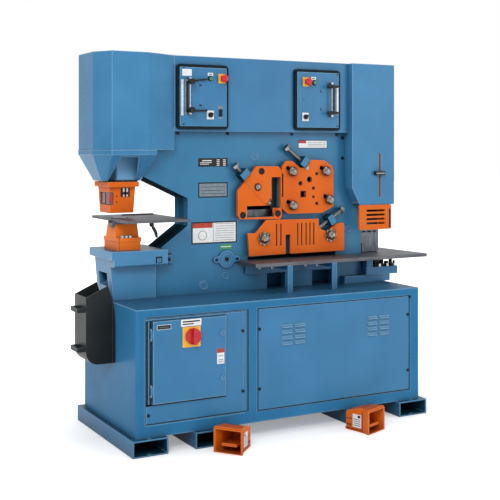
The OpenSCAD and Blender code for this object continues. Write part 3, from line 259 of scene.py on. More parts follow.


# Enamels: an even coat, with painted highlights on its edges and painted shade in its corners.
# The sheet covers are smoother than the frame plates and the skid tubes, and carry less painted shade.
BLUE = enamel("blue machine enamel", "#2B6F9C", "#2F75A2", "#347AA8", "#9CC8E6", shade_and_top_code="#1C2C34",
              highlight_mm=6.5)
COVER_BLUE = enamel("blue enamel on sheet covers", "#3E7CA8", "#4382AE", "#4888B4", "#A8D2EE",
                    0.27, highlight_mm=7, most=0.3, gloss=0.1)
PLATE_BLUE = shade_plate_edges(enamel("blue enamel on flame-cut plate", "#2A7099", "#2E769F", "#347BA5",
                              "#79AED2"), "#12323E")
# a darker copy of the plate blue, painting the shade between the plates
SPACER_BLUE = shade_plate_edges(enamel("blue paint darkened as painted shade between the plates", "#225570", "#275C78", "#2D6380",
                               "#5F97B6"), "#0D232B")
# a lighter copy of the blue, painting light onto the bolster where the hood shades it
BOLSTER_BLUE = enamel("blue enamel lightened as painted light on the punch bolster", "#4080AC", "#4587B3", "#4A8DB9", "#A8D2EE",
                      shade_and_top_code="#2A3A42", highlight_mm=7, most=0.3)
# heavy painted shade over a long reach darkens the skid tubes under the cabinet
SKID_BLUE = enamel("blue enamel on skid tubes", "#2C72A2", "#3078A8", "#357EAE", "#79AED2", 0.4,
                   "#0B1D24", highlight_mm=9, reach=130, most=0.8, gloss=0.2)
# wide painted highlights on the cabinet's folded edges
CABINET_BLUE = enamel("blue enamel on folded cabinet sheet", "#2B6F9C", "#2F75A2", "#347AA8", "#8DBEE0",
                      shade_and_top_code="#2C383E", highlight_mm=13, gloss=0.04)
# a pale copy of the blue, painting light onto the shaded ram guide and highlights onto the louvre lips
PALE_BLUE = enamel("blue enamel lightened as painted light on the ram guide", "#6BA8D6", "#74B0DC", "#7DB7E2", "#CFE6F6",
                   0.3, highlight_mm=6, most=0.1)
ORANGE = enamel("orange safety enamel", "#DA5E0E", "#E06614", "#E66E1C", "#FFA262", 0.46,
                "#5A1E08", gloss=0.14)
# a lighter copy of the orange, painting light onto the die holder under the table's shade
BRIGHT_ORANGE = enamel("orange enamel lightened as painted light on the die holder", "#F47418", "#FA7C20", "#FF842A",
                       "#FFB27A", 0.46, "#5A1E08", most=0.2, gloss=0.14)
BLACK_PAINT = enamel("black satin paint", "#15191A", "#1C2021", "#242829", "#50575A", 0.42, gloss=0.14)
# Plastics, rubber and label films: a nearly even colour and a grain that shows only close up.
BLACK = plastic("black moulded plastic", "#0B0D0E", "#141618", 0.4, gloss=0.3)
BEZEL = plastic("black rubber edge trim", "#08151C", "#0D1D26", 0.5, gloss=0.12)
RED = plastic("red moulded plastic", "#BC1F2A", "#CC2E38", 0.34, gloss=0.35)
GREEN = plastic("green push button plastic", "#257045", "#318A57", 0.3)
YELLOW = plastic("yellow label plastic", "#ECAE2C", "#F5BE42", 0.4)
WHITE = plastic("white label plastic", "#E4E6E6", "#EFF0F0", 0.45)
LABEL_RED = plastic("red label film", "#A83020", "#B83A28", 0.45)
LABEL_GREEN = plastic("green label film", "#2F8A4A", "#389654", 0.45)
LABEL_GREY = plastic("grey label film", "#6C7C88", "#7A8994", 0.45)
# Bare steels: streaks run along the axis whose stretch is small; screws are only mottled.
OXIDE = steel("black oxide screw steel", "#1D1F21", "#2B2E30", 0.42, (1, 1, 1), 8)
ZINC = steel("zinc plated bolt steel", "#8C8E90", "#ABADAF", 0.28, (1, 1, 1), 14, 0.02)
TABLE = steel("oily milled table steel", "#45484D", "#606267", 0.48, (0.15, 1, 1), 14, metal=0.55)
BLADE = steel("hardened blade steel", "#3E4246", "#5C6066", 0.36, (1, 1, 0.2), 12)
RAM_STEEL = steel("oiled ram steel", "#42464D", "#5E626A", 0.34, (1, 1, 0.15), 12)
BOLTS = steel("domed bolt steel", "#676460", "#87837D", 0.27, (1, 1, 1), 12, 0.02)
darker_beyond(BOLTS, 700, "#17191B")
RUBBER = plastic("black exit curtain rubber", "#08090A", "#101213", 0.7, 3.0)
PANE = plastic("smoked sight pane", "#6A5356", "#7C5C60", 0.3)
TOOL = steel("ground tool steel", "#8D9095", "#A9ACB1", 0.34, (1, 1, 0.2), 10)
CHROME = steel("hard chrome plate", "#C9CCD0", "#E2E4E7", 0.12, (1, 1, 0.1), 8, 0.01)

LOOK = {
    "table_steel": TABLE, "tool_steel": TOOL, "chrome": CHROME, "machine_blue": BLUE,
    "safety_orange": ORANGE, "black_paint": BLACK_PAINT, "black_plastic": BLACK,
    "red_plastic": RED, "green_plastic": GREEN,
}
SLOT_OF = {part["node"]: part["material_slot"] for part in frame["record"]["subparts"]}
for node, obj in NODES.items():
    obj.data.materials.clear()
    obj.data.materials.append(LOOK[SLOT_OF[node]])
for node in ("hood", "hood_funnel", "right_cover"):
    NODES[node].data.materials[0] = COVER_BLUE
for node, mat in {
        "frame_front_plate": PLATE_BLUE, "frame_back_plate": PLATE_BLUE,
        "frame_spacers": SPACER_BLUE, "skid_tubes": SKID_BLUE, "base_cabinet": CABINET_BLUE,
        "punch_pedestal": BOLSTER_BLUE, "die_holder": BRIGHT_ORANGE,
        "control_bezels": BEZEL, "guide_bolts": BOLTS, "right_ram": RAM_STEEL,
        "fixed_blades": BLADE, "moving_blades": BLADE,
        "jack_angle": threaded("angle jack screw", (0.70711, 0, -0.70711), (-63.08, 1241.08), 80),
        "jack_rod": threaded("bar jack screw", (0.78801, 0, -0.61566), (302.0, 1300.68), 148),
        "jack_bar": threaded("flat jack screw", (-0.84805, 0, -0.52992), (383.09, 971.32), 160),
        }.items():
    NODES[node].data.materials[0] = mat


# ---- Floor, lamps and camera --------------------------------------------------------

def direct_rays(tree):
    """1 for rays that show the backdrop: seen, mirrored or through glass; 0 for lighting."""
    rays = add(tree, "ShaderNodeLightPath").outputs
    total = rays["Is Camera Ray"]
    for kind in ("Is Glossy Ray", "Is Transmission Ray"):
        total = add(tree, "ShaderNodeMath", links={0: total, 1: rays[kind]},
                    operation="MAXIMUM").outputs[0]
    return total


def stage_floor():
    """The pale floor, which isn't part of the machine."""
    mat, tree, shader, coords = start("pale studio floor", Roughness=0.9)
    shader.inputs["Base Color"].default_value = srgb("#F4F4F4")
    # the floor's own white, seen and reflected but not lighting: low in the machine's shadow,
    # full further out, where the floor runs into the backdrop
    view = direct_rays(tree)
    spread = add(tree, "ShaderNodeMapping", {"Scale": (0.72, 1.0, 1.0)}, {"Vector": coords})
    far = add(tree, "ShaderNodeVectorMath", operation="LENGTH")
    tree.links.new(spread.outputs[0], far.inputs[0])
    glow = add(tree, "ShaderNodeMapRange", {"From Min": 0.6, "From Max": 1.5, "To Min": 0.3},
               {"Value": far.outputs["Value"]})
    both = add(tree, "ShaderNodeMath", links={0: view, 1: glow.outputs[0]}, operation="MULTIPLY")
    shader.inputs["Emission Color"].default_value = (1, 1, 1, 1)
    tree.links.new(both.outputs[0], shader.inputs["Emission Strength"])
    mesh = bpy.data.meshes.new("floor")
    form = bmesh.new()
    bmesh.ops.create_grid(form, x_segments=1, y_segments=1, size=30)
    form.to_mesh(mesh)
    form.free()
    mesh.materials.append(mat)
    floor = bpy.data.objects.new("floor", mesh)
    bpy.context.scene.collection.objects.link(floor)


def lamp(name, place, aim, size, power):
    """A soft round studio lamp, aimed at a point."""
    light = bpy.data.lights.new(name, "AREA")
    light.shape = "DISK"
    light.size = size
    light.energy = power
    obj = bpy.data.objects.new(name, light)
    obj.location = place
    obj.rotation_euler = (Vector(aim) - Vector(place)).to_track_quat("-Z", "Y").to_euler()
    bpy.context.scene.collection.objects.link(obj)


stage_floor()
lamp("key", (-3.6, -4.4, 4.4), (0, 0, 0.9), 2.4, 150)
lamp("fill", (3.8, -4.4, 2.2), (0, 0, 0.9), 3.2, 60)
lamp("top", (0, 0.2, 5.2), (0, 0, 0.9), 3.0, 70)

world = bpy.data.worlds.new("pale studio")
bpy.context.scene.world = world
world.use_nodes = True
sky = world.node_tree.nodes["Background"]
sky.inputs["Color"].default_value = (1, 1, 1, 1)
level = add(world.node_tree, "ShaderNodeMapRange", {"To Min": 0.52},
            {"Value": direct_rays(world.node_tree)})
world.node_tree.links.new(level.outputs[0], sky.inputs["Strength"])

view = bpy.data.cameras.new("camera")
view.lens = 72.4
view.sensor_width = 36
view.shift_y = -0.2014
camera = bpy.data.objects.new("camera", view)
camera.location = (-2.524, -4.577, 1.388)
camera.rotation_euler = (math.radians(90), 0, math.radians(-28.64))
bpy.context.scene.collection.objects.link(camera)
bpy.context.scene.camera = camera
bpy.context.scene.view_settings.view_transform = "Standard"


# ---- Piece helpers ------------------------------------------------------------------

def finish_piece(name, form, mat, body="root"):
    """Makes a finished bmesh a named piece that rides on a body."""
    bmesh.ops.recalc_face_normals(form, faces=form.faces)
    mesh = bpy.data.meshes.new(name)
    form.to_mesh(mesh)
    form.free()
    mesh.materials.append(mat)
    obj = bpy.data.objects.new(name, mesh)
    bpy.context.scene.collection.objects.link(obj)
    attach(obj, body)
    return obj


def edges_of(verts):
    """The edges at some vertices, each once and in an order that never changes."""
    return list(dict.fromkeys(e for v in verts for e in v.link_edges))


def soften(form, edges, size, segments=2):
    """Rounds edges by a size in millimetres."""
    bmesh.ops.bevel(form, geom=edges, offset=size * MM, segments=segments, affect="EDGES",
                    profile=0.5, material=-1)


def block(form, low, high, edge=0.0):
    """Adds a box between two corners in millimetres, with softened edges."""
    low, high = Vector(low) * MM, Vector(high) * MM
    verts = bmesh.ops.create_cube(form, size=1.0)["verts"]
    bmesh.ops.scale(form, vec=high - low, verts=verts)
    bmesh.ops.translate(form, vec=(low + high) / 2, verts=verts)
    if edge:
        soften(form, edges_of(verts), edge)


FACING = {"-Y": Matrix.Rotation(math.radians(90), 4, "X"),
          "-X": Matrix.Rotation(math.radians(-90), 4, "Y"),
          "+X": Matrix.Rotation(math.radians(90), 4, "Y"),
          "+Y": Matrix.Rotation(math.radians(-90), 4, "X"),
          "+Z": Matrix.Identity(4)}


def place(form, verts, at, facing):
    """Turns new vertices from +Z to a facing and moves them to a place in millimetres."""
    turn = Matrix.Translation(Vector(at) * MM) @ FACING[facing]
    bmesh.ops.transform(form, matrix=turn, verts=verts)


def lathe(form, profile, at, facing, steps=32):
    """Spins a profile of (radius, height) in millimetres about its own axis."""
    before = set(form.verts)
    ring = [form.verts.new((r * MM, 0, h * MM)) for r, h in profile]
    edges = [form.edges.new(pair) for pair in zip(ring, ring[1:])]
    bmesh.ops.spin(form, geom=ring + edges, cent=(0, 0, 0), axis=(0, 0, 1),
                   angle=math.tau, steps=steps, use_merge=True)
    made = [v for v in form.verts if v not in before]
    bmesh.ops.remove_doubles(form, verts=made, dist=1e-6)
    place(form, [v for v in form.verts if v not in before], at, facing)


def cap_screw(form, at, facing, radius, height, socket=0.5):
    """A round screw head with a round recess in its top."""
    before = set(form.verts)
    made = bmesh.ops.create_cone(form, cap_ends=True, segments=30, radius1=radius * MM,
                                 radius2=radius * MM, depth=height * MM)["verts"]
    bmesh.ops.translate(form, vec=(0, 0, height * MM / 2), verts=made)
    top = max((f for f in form.faces if set(f.verts) <= set(made)),
              key=lambda f: f.calc_center_median().z)
    soften(form, list(top.edges), radius * 0.14)
    top = max((f for f in form.faces if not before & set(f.verts)),
              key=lambda f: (round(f.calc_center_median().z, 6), f.calc_area()))
    bmesh.ops.inset_region(form, faces=[top], thickness=radius * MM * (1 - socket) * 0.8)
    sunk = bmesh.ops.extrude_discrete_faces(form, faces=[top])["faces"]
    bmesh.ops.translate(form, vec=(0, 0, -height * MM * 0.6),
                        verts=[v for f in sunk for v in f.verts])
    place(form, [v for v in form.verts if v not in before], at, facing)


def screws(name, places, facing, radius, height, mat, body="root"):
    """Round-headed screws of one size, as one piece."""
    form = bmesh.new()
    for at in places:
        cap_screw(form, at, facing, radius, height)
    return finish_piece(name, form, mat, body)


def plates(name, boxes, mat, body="root", edge=0.3):
    """Boxes between pairs of corners, as one piece."""
    form = bmesh.new()
    for low, high in boxes:
        block(form, low, high, edge)
    return finish_piece(name, form, mat, body)


def turned(name, profile, places, facing, mat, body="root", steps=32):
    """One turned shape at several places, as one piece."""
    form = bmesh.new()
    for at in places:
        lathe(form, profile, at, facing, steps)
    return finish_piece(name, form, mat, body)


def bar(form, start_mm, end_mm, radius, steps=20, edge=0.6):
    """Adds a round bar between two points in millimetres, its ends slightly rounded."""
    a, b = Vector(start_mm) * MM, Vector(end_mm) * MM
    verts = bmesh.ops.create_cone(form, cap_ends=True, segments=steps, radius1=radius * MM,
                                  radius2=radius * MM, depth=(b - a).length)["verts"]
    ends = [e for e in edges_of(verts) if abs(e.verts[0].co.z - e.verts[1].co.z) < 1e-7]
    turn = (b - a).to_track_quat("Z", "Y").to_matrix().to_4x4()
    bmesh.ops.transform(form, matrix=Matrix.Translation((a + b) / 2) @ turn, verts=verts)
    soften(form, ends, edge, 2)


def bars(name, runs, radius, mat, body="root", steps=20):
    """Round bars between pairs of points, as one piece."""
    form = bmesh.new()
    for start_mm, end_mm in runs:
        bar(form, start_mm, end_mm, radius, steps)
    return finish_piece(name, form, mat, body)


def pierced(x, z, left, right, half_h, hole):
    """A rectangle round a square hole, as four rectangles."""
    return [(x - left, z - half_h, x - hole, z + half_h), (x + hole, z - half_h, x + right, z + half_h),
            (x - hole, z - half_h, x + hole, z - hole), (x - hole, z + hole, x + hole, z + half_h)]


def front_of(node):
    """The Y of a node's front face, in millimetres."""
    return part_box(node)[0].y / MM


# ---- Frame front: labels, screws and plugs ---------------------------------------------

PLATE_Y = 0.0          # the frame plate's own front, behind its thickened foot
FILM = 0.6             # label thickness


def label(name, rows, y, body="root"):
    """A plain printed label: filled rectangles, each further forward than the last."""
    for step, (mat, boxes) in enumerate(rows):
        depth = FILM * (step + 1)
        plates(f"{name}_{step}", [((x0, y - depth, z0), (x1, y - depth + FILM, z1))
                                  for x0, z0, x1, z1 in boxes], mat, body, 0.15)


label("data_plate", [(BLACK, [(-322, 1300, -155, 1343)]),
                     (WHITE, [(x, z, x + 16, z + 4) for x in (-218, -182)
                              for z in (1305, 1314, 1323, 1332)]
                      + [(-300, 1328, -246, 1333), (-312, 1319, -246, 1322),
                         (-312, 1311, -262, 1314)])], PLATE_Y)
label("rating_plate", [(OXIDE, [(-322, 1143, -155, 1220)]),
                       (LABEL_GREY, [(-316, 1149, -161, 1214)]),
                       (OXIDE, [(-306, 1196, -172, 1198), (-306, 1178, -172, 1180),
                                (-306, 1162, -172, 1164)])], PLATE_Y)
label("chart_plate", [(BLACK, [(-360, 909, -102, 1021)]),
                      (WHITE, [(-353, 916, -109, 1014)]),
                      (LABEL_RED, [(-353, 990, -242, 1014)]),
                      (LABEL_GREY, [(-226, z, -118, z + 2) for z in range(924, 1010, 12)]
                       + [(-238, 916, -236, 1014)])], PLATE_Y)
turned("chart_ring", [(22, 0), (22, 0.5), (24, 0.5), (24, 0)], [(-298, PLATE_Y - 2 * FILM, 952)],
       "-Y", OXIDE)
label("green_tag", [(LABEL_GREEN, [(-200, 878, -130, 902)]),
                    (WHITE, [(-194, 888, -136, 892)])], PLATE_Y)
label("top_tag", [(BLACK, [(267, 1393, 451, 1437)]), (WHITE, [(270, 1396, 448, 1434)]),
                  (LABEL_RED, [(270, 1420, 316, 1434)]),
                  (LABEL_GREY, [(328, z, 440, z + 2) for z in (1404, 1413, 1422)])], PLATE_Y)

SEAM_SCREWS = [(x, PLATE_Y, 1468) for x in (-435, -156, 228, 512)]
EDGE_SCREWS = [(549, PLATE_Y, z) for z in (1450, 1340)]
screws("seam_screws", SEAM_SCREWS + EDGE_SCREWS, "-Y", 8, 5, OXIDE)

PLUG = [(0, 1.5), (15, 1.5), (17, 3), (19, 3), (21, 1), (21, 0)]
turned("frame_plugs", PLUG, [(x, PLATE_Y, z) for x, z in
       ((-292, 699), (-168, 741), (2, 1350), (588, 952))], "-Y", BLUE)
turned("plug_rings", [(22, 0), (22, 2), (25, 2), (25.6, 0)],
       [(x, PLATE_Y, z) for x, z in ((-292, 699), (2, 1350))], "-Y", BLUE)

# ---- Shear: guard screws, slider bolt and corner tip -----------------------------------

GUARD_FRONT = front_of("angle_guard")
GUARD_SCREWS = [(x, GUARD_FRONT, z) for x, z in ((25, 1274), (-85, 1050), (122, 1053))]
screws("guard_screws", GUARD_SCREWS, "-Y", 13, 3, OXIDE)
turned("guard_screw_rims", [(13.4, 0), (13.4, 1.2), (17, 1.2), (17.6, 0)], GUARD_SCREWS, "-Y",
       OXIDE)
SLIDER_FRONT = front_of("angle_slider")
turned("slider_bolt", [(0, 12), (9, 11), (14, 8), (16, 4), (16, 0)],
       [(1, SLIDER_FRONT, 1193)], "-Y", BOLTS, "angle_clamp")
turned("slider_bolt_washer", [(16.2, 0), (16.2, 2), (20, 2), (20, 0)],
       [(1, SLIDER_FRONT, 1193)], "-Y", OXIDE, "angle_clamp")
ROD_FRONT = front_of("rod_holddown")
screws("rod_plate_screws", [(x, ROD_FRONT, z) for x, z in
       ((361, 1258), (361, 1100))], "-Y", 8, 3, OXIDE, "rod_clamp")
turned("rod_plate_stud", [(0, 8), (7, 8), (9, 6), (9, 3), (13, 3), (13, 0)],
       [(300, ROD_FRONT, 1291)], "-Y", BOLTS, "rod_clamp")
for name, x, z, inner, outer in (("large", 316, 1228, 12.6, 16), ("medium", 260, 1208, 8.2, 12),
                                 ("small", 341, 1181, 4.7, 9), ("least", 341, 1135, 3.7, 7.5)):
    turned(f"bar_bush_{name}", [(inner, 0), (inner, 0.8), (outer, 0.8), (outer, 0)],
           [(x, ROD_FRONT, z)], "-Y", OXIDE, "rod_clamp")
plates("square_bush", [((x0, ROD_FRONT - 0.8, z0), (x1, ROD_FRONT, z1))
                       for x0, z0, x1, z1 in pierced(277, 1151, 17, 17, 17, 13.2)], OXIDE, "rod_clamp")
turned("slider_tip_screw", [(0, 6), (6, 6), (9, 4), (9, 0)], [(70, SLIDER_FRONT, 1108)], "-Y", BOLTS,
       "angle_clamp")

# ---- Control panels ------------------------------------------------------------------

PANEL = front_of("control_plates")
ROD_Y = PANEL - 20
RODS = (-404, 430)
ROD_ENDS = (1560, 1744)
RULES = ((-443, 1556, -431, 1734), (474, 1576, 486, 1724))


def gauge_rods():
    """The two gauge rods with their end brackets, standing for the fittings' own node."""
    form = bmesh.new()
    for x in RODS:
        bar(form, (x, ROD_Y, ROD_ENDS[0]), (x, ROD_Y, ROD_ENDS[1]), 4)
        for z in ROD_ENDS:
            low = z if z == ROD_ENDS[0] else z - 10
            block(form, (x - 7, ROD_Y - 6, low), (x + 7, PANEL, low + 10), 1.5)
    return finish_piece("gauge_rods", form, ZINC)


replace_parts(gauge_rods(), "panel_fittings")
label("rules", [(WHITE, RULES)], PANEL)
label("rule_marks", [(BLACK, [(x1 - (9 if k % 5 == 0 else 5), z, x1 - 1, z + 1)
                     for x0, z0, x1, z1 in RULES
                     for k, z in enumerate(range(z0 + 6, z1 - 4, 6))])], PANEL - FILM)
label("rod_channels", [(LABEL_GREY, [(-424, 1560, -396, 1736)]),
                       (BLACK, [(-416, 1570, -402, 1726), (438, 1578, 462, 1728)])], PANEL)
STOPS = [(-214, 1744), (284, 1744)]
label("stop_plates", [(YELLOW, [cell for x, z in STOPS for cell in pierced(x, z, 25, 15, 24, 12)])],
      PANEL - 2)
label("selector_plates", [(WHITE, [(x - 20, z - 22, x + 20, z + 22)
                                   for x, z in ((-284, 1560), (276, 1559))])], PANEL - 2)
plates("plate_backs", [((x - 24, PANEL - 2, z - 24), (x + 24, PANEL, z - 12)) for x, z in STOPS]
       + [((x - 24, PANEL - 2, z + 12), (x + 24, PANEL, z + 24)) for x, z in STOPS]
       + [((x - 19, PANEL - 2, z - 21), (x + 19, PANEL, z + 21))
          for x, z in ((-284, 1560), (276, 1559))], BLACK)
turned("start_rings", [(9.6, 5), (12.5, 5), (13.5, 3), (13.5, 0)],
       [(-283, PANEL, 1742), (333, PANEL, 1740)], "-Y", BLACK)
label("start_tags", [(WHITE, [(-297, 1757, -267, 1771), (312, 1757, 342, 1771)]),
                     (BLACK, [(-291, 1762, -273, 1766), (318, 1762, 336, 1766)])], PANEL)
label("key_tags", [(LABEL_GREY, [(-240, 1590, -212, 1606), (-238, 1541, -214, 1551)])], PANEL)
turned("key_switches", [(0, 6), (8, 6), (10, 4), (10, 0)],
       [(-226, PANEL, 1580), (-226, PANEL, 1562)], "-Y", OXIDE)
label("corner_tag", [(WHITE, [(-438, 1752, -386, 1786)])], PANEL)
label("stop_marks", [(OXIDE, [(-345, 1704, -330, 1711), (-345, 1604, -330, 1611),
                              (370, 1690, 374, 1706), (374, 1690, 384, 1693),
                              (370, 1594, 374, 1610), (374, 1594, 384, 1597),
                              (264, 1648, 269, 1653)])], PANEL)
for body, z, rise in (("knob_lu", 1726, 12), ("knob_ll", 1578, 4)):
    bars(f"{body}_arm", [((-398, ROD_Y + 9, z), (-306, ROD_Y + 9, z + rise))], 4.5, BLACK, body)
for body, node in (("knob_ru", "stop_knob_right_upper"), ("knob_rl", "stop_knob_right_lower")):
    z = (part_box(node)[0].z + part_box(node)[1].z) / 2 / MM
    left, right = RODS[1] - 32, RODS[1] + 32
    bars(f"{body}_arm", [((left, ROD_Y - 11, z), (right, ROD_Y - 11, z))], 7, BLACK, body)
screws("panel_screws", [(x, PANEL, z) for x in (-430, 478) for z in (1512, 1790)]
       + [(x, PANEL, z) for x in (-184, 222) for z in (1512, 1790)], "-Y", 4, 1.5, OXIDE)

# ---- Cabinet: door, switch and panel fixings --------------------------------------------

DOOR = front_of("enclosure_door")
CABINET = front_of("base_cabinet")
SWITCH = (-524, 523)
label("door_plate", [(WHITE, [(-704, 565, -634, 587)]), (BLACK, [(-702, 567, -636, 585)]),
                     (LABEL_GREY, [(-694, 575, -644, 577)])], DOOR, "door")
label("voltage_plate", [(WHITE, [(-584, 570, -480, 602)]),
                        (OXIDE, [(-576, 589, -488, 595), (-576, 578, -520, 583)])], DOOR, "door")
label("switch_plate", [(YELLOW, pierced(-530, 520, 46, 46, 47, 20))], DOOR, "door")
label("door_tag", [(WHITE, [(-398, 380, -360, 452)]), (LABEL_RED, [(-398, 432, -360, 452)]),
                   (LABEL_GREY, [(-392, z, -366, z + 3) for z in (388, 398, 416)])], DOOR, "door")
# painted shadow: dark strips in the gap round the door; the pale strip is a painted highlight on its
# hinge edge
label("door_gap_shade_and_highlight", [(OXIDE, [(-753, 222, -725, 606), (-753, 219, -346, 227), (-349, 219, -346, 606),
                            (-753, 605, -346, 607)]),
                   (COVER_BLUE, [(-743, 228, -736, 604)])], CABINET + 0.5)
LEFT, LOW, RIGHT, HIGH = -172, 131, 739, 621       # outline of the shadow round the access panel
# dark strips paint the shadow round the access panel; the pale strips are painted highlights on its
# right and lower edges
label("panel_shadow", [(OXIDE, [(RIGHT - 6, LOW, RIGHT, HIGH), (LEFT, LOW - 2, RIGHT, LOW + 2),
                                (LEFT, LOW, LEFT + 3, HIGH), (LEFT, HIGH - 2, RIGHT, HIGH + 2)]),
                       (COVER_BLUE, [(RIGHT - 1.5, LOW, RIGHT + 2.5, HIGH),
                                     (LEFT, LOW - 5, RIGHT, LOW - 2.5)])], CABINET)
# dark strips paint the shadow round the door recess; the pale strips are painted highlights on its
# right and upper edges
label("door_shadow", [(OXIDE, [(-229, 139, -223, 621), (-753, 620, -226, 623), (-753, 136, -226, 139)]),
                      (COVER_BLUE, [(-223, 139, -220, 621), (-753, 623, -226, 626)])], CABINET)
LOUVRE_Y = front_of("access_panel") - 1
BANK = 254                             # from that outline's middle to each bank of louvres
BANKS = ((LEFT + RIGHT) / 2 - BANK, (LEFT + RIGHT) / 2 + BANK)
LOUVRES = [(x, z) for middle in BANKS for x in (middle - 64, middle + 10)
           for z in (519, 491, 463, 435)]
# painted highlights: pale strips along each louvre's lip
plates("louvre_highlights", [((x + 1, LOUVRE_Y, z - 1.4), (x + 53, LOUVRE_Y + 1.6, z + 1.4))
                       for x, z in LOUVRES], PALE_BLUE, "root", 0.5)
turned("switch_boss", [(12, 4), (30, 4), (34, 2.4), (34, 1.4)], [(SWITCH[0], DOOR, SWITCH[1])],
       "-Y", RED, "isolator", 48)
PANEL_SCREWS = [(-254, 522), (-254, 235), (-741, 178), (-163, 522), (-163, 234),
                (726, 523), (726, 232), (738, 615)]
screws("cabinet_screws", [(x, CABINET, z) for x, z in PANEL_SCREWS], "-Y", 7, 4, OXIDE)

# ---- Punch station ---------------------------------------------------------------------

HOLDER_STEP = 958
screws("holder_screws", [(x, -4, HOLDER_STEP) for x in (-732, -712, -692)], "+Z", 8.5, 12, ZINC)
screws("bracket_screws", [(-776, y, 1036) for y in (29, 52)], "-X", 5.5, 4, OXIDE)
# the sleeve's pale blue paints light onto the ram guide inside the shaded funnel
sleeve = bmesh.new()
block(sleeve, (-758, 10, 1238), (-624, 150, 1384))
soften(sleeve, [e for e in sleeve.edges if abs(e.verts[0].co.z - e.verts[1].co.z) > 0.01], 12, 5)
finish_piece("guide_sleeve", sleeve, PALE_BLUE)
screws("stripper_top_screws", [(x, y, 1230) for x in (-788, -762, -736, -710, -684, -662)
                               for y in (-1, 162)], "+Z", 7.5, 7, OXIDE)
LEVER = (-628, -122)
bars("lever_grip", [((LEVER[0] + 20, LEVER[1], 992), (LEVER[0] + 24, LEVER[1], 978)),
                    ((LEVER[0] + 8, LEVER[1], 1012), (LEVER[0] + 20, LEVER[1], 992))], 8.2, BLACK,
     "lever", 16)
bars("stripper_studs", [((x, 20, 1157), (x, 20, 1199)) for x in (-716, -698)], 6, ZINC)
bars("stripper_stud_nuts", [((x, 20, 1168), (x, 20, 1180)) for x in (-716, -698)], 8.5, OXIDE,
     "root", 6)
plates("sight_pane", [((-783.5, 26, 1119), (-781.5, 144, 1178)),
                      ((-781, 22, 1119), (-769, 24, 1178))], PANE)
plates("pane_tags", [((-785, 30, 1128), (-783.5, 66, 1168)), ((-780, 20.5, 1130), (-770, 22, 1166))],
       LABEL_RED)
plates("pane_frame", [((-786, 24, z), (-781.5, 146, z + 4)) for z in (1118, 1175)]
       + [((-786, y, 1118), (-781.5, y + 4, 1179)) for y in (84, 142)], BLACK_PAINT)
PEDESTAL = front_of("punch_pedestal")
# painted shade: a flat dark film standing for the inside of a pocket
label("bolster_pocket_shade", [(OXIDE, [(-584, 834, -550, 866)])], PEDESTAL)
plates("bolster_nuts", [((-578, PEDESTAL - 5, 836), (-556, PEDESTAL - 0.5, 858))], BLUE, "root", 2)
plates("bolster_clamp_seat", [((-516, -4, 818), (-470, 0, 870))], OXIDE)
plates("bolster_clamp", [((-512, -22, 822), (-474, -4, 866))], COVER_BLUE, "root", 3)
screws("bolster_screws", [(-493, -22, 844)], "-Y", 9, 6, OXIDE)
# painted shade: a flat dark strip standing for the inside of a groove in the table
plates("table_groove_shade", [((-740, -108, 1050.4), (-592, -100, 1051.3))], OXIDE)
TABLE_HOLES = [(-742, -150), (-742, 300), (-470, -150), (-470, 300)]
turned("table_studs", [(0, 1.2), (6, 1.2), (7, 0)], [(x, y, 1051) for x, y in TABLE_HOLES],
       "+Z", OXIDE)

# ---- Shear: exit curtains, pivot cap ------------------------------------------------------

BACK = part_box("frame_back_plate")[1].y / MM


def curtain(name, x0, x1, z0, z1, strips):
    """A rubber curtain of overlapping strips over an exit window in the back plate."""
    step = (x1 - x0) / strips
    boxes = []
    for i in range(strips):
        left, near = x0 + i * step, BACK + (i % 2) * 2
        boxes.append(((left, near, z0), (left + step + 3, near + 2, z1)))
    plates(name, boxes, RUBBER, "root", 0.5)
    plates(name + "_rail", [((x0 - 10, BACK + 4, z1 - 22), (x1 + 13, BACK + 8, z1 + 4))], BLUE,
           "root", 1)
    screws(name + "_screws", [(x0 + k * (x1 - x0) / 3, BACK + 8, z1 - 9) for k in range(4)], "+Y",
           6, 4, ZINC)


screws("ledge_screws", [(x, -14, 770) for x in (22, 98, 142, 302, 375, 421)], "-Y", 7, 5, ZINC)
curtain("angle_curtain", -90, 170, 1000, 1272, 7)
curtain("flat_curtain", -56, 530, 742, 872, 14)
CAP = front_of("pivot_pin")
turned("pivot_plug", [(0, 3), (9, 3), (11, 2), (11, 0)], [(-165, CAP, 826)], "-Y", OXIDE)
turned("pivot_ring", [(24, 0), (24, 1.6), (27, 1.6), (27.6, 0)], [(-165, CAP, 826)], "-Y", BLUE)
screws("pivot_screws", [(x, CAP, 826) for x in (-224, -106)], "-Y", 7, 4, OXIDE)

plates("guard_return", [((796, 17, 953), (817.5, 20, 1107))], ORANGE)
label("guard_strip", [(OXIDE, [(804, 958, 814, 1062)])], front_of("notch_guard"))
plates("ram_keys", [((x, 27, 925), (x + 24, 30, 934)) for x in (702, 737, 772)], OXIDE, "ram_slide", 1)
BOLSTER_TOP = 740
screws("die_clamp_screws", [(x, -28, BOLSTER_TOP) for x in (726.8, 770, 815, 830, 875)], "+Z",
       6.2, 28, OXIDE)
plates("die_clamp_blocks", [((x, -48, BOLSTER_TOP), (x + 14, -43, BOLSTER_TOP + 17))
                            for x in (760, 812, 862)], ZINC, "root", 1)

# ---- Right side: stroke pointer, cover seam -----------------------------------------------

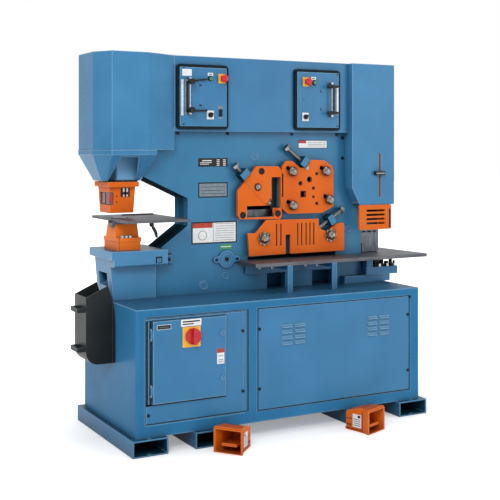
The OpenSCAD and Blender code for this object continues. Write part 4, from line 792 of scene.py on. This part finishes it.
COVER = front_of("right_cover")
plates("pointer_cap", [((704, COVER - 19.5, 1246), (770, COVER - 5, 1268))], BLACK, "ram_slide", 2)
plates("pointer_line", [((712, COVER - 20.2, 1256), (766, COVER - 19.4, 1258.5))], WHITE,
       "ram_slide")
plates("stroke_strip", [((738, COVER + 7, 1116), (754, COVER + 9, 1424))], ORANGE, "ram_slide")
label("slot_rim", [(ORANGE, [(740.4, 1127, 741.2, 1366), (750.8, 1127, 751.8, 1366)])], COVER)
label("cover_seam", [(OXIDE, [(840.6, 1088, 842, 1850)])], COVER)
COVER_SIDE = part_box("right_cover")[1].x / MM
screws("cover_screws", [(COVER_SIDE, y, z) for y in (-30, 190) for z in (1150, 1480, 1810)], "+X",
       6, 3, OXIDE)

# ---- Foot switches --------------------------------------------------------------------------

FOOT_PLACES = ((-416.5, -507.5, 36.5), (385.5, -545.4, 111.7))
NECK, REAR = (46, 56), (150, 44)       # length along a hood and half width there
SIDE_TURN = math.degrees(math.atan2(NECK[1] - REAR[1], REAR[0] - NECK[0]))


def on_foot(name, number, side, boxes, mat, edge=0.4):
    """Boxes on a hood: side 0 is its own frame, side -1 or 1 a flank, measured from its neck."""
    x, y, turn = FOOT_PLACES[number]
    at = Matrix.Translation(Vector((x, y, 0)) * MM) @ Matrix.Rotation(math.radians(turn), 4, "Z")
    if side:
        at = at @ Matrix.Translation(Vector((NECK[0], side * NECK[1], 0)) * MM) \
            @ Matrix.Rotation(math.radians(-side * SIDE_TURN), 4, "Z")
    form = bmesh.new()
    for low, high in boxes:
        if side > 0:
            low, high = (low[0], -high[1], low[2]), (high[0], -low[1], high[2])
        block(form, low, high, edge)
    bmesh.ops.transform(form, matrix=at, verts=form.verts)
    finish_piece(f"{name}_{number}_{'mlr'[side]}", form, mat)


for number in (0, 1):
    on_foot("foot_bead", number, 0, [((3, -70, 112), (12, 70, 119)), ((3, -72, 0), (12, -68, 114)),
                                     ((3, 68, 0), (12, 72, 114))], ORANGE, 2)
    on_foot("foot_seam", number, 0, [((60, -30, 117.6), (64, 30, 118.6))], OXIDE, 0.2)
    for side in (-1, 1):
        on_foot("foot_label", number, side, [((8, -0.8, 20), (62, 0.4, 84))], WHITE)
        on_foot("foot_print", number, side, [((13, -1.3, z), (57, -0.5, z + 3))
                                             for z in (28, 38, 48, 58)]
                + [((13, -1.3, 68), (30, -0.5, 80))], OXIDE, 0.2)
        on_foot("foot_split", number, side, [((66, -0.8, 56), (104, 0.4, 59)),
                                             ((2, -0.8, 8), (104, 0.4, 11)),
                                             ((-1.5, -1, 0), (1.5, 0.4, 104))], OXIDE, 0.2)
        on_foot("foot_screws", number, side, [((74, -2.5, 24), (82, 0.4, 32)),
                                              ((90, -2.5, 24), (98, 0.4, 32))], OXIDE, 1.5)
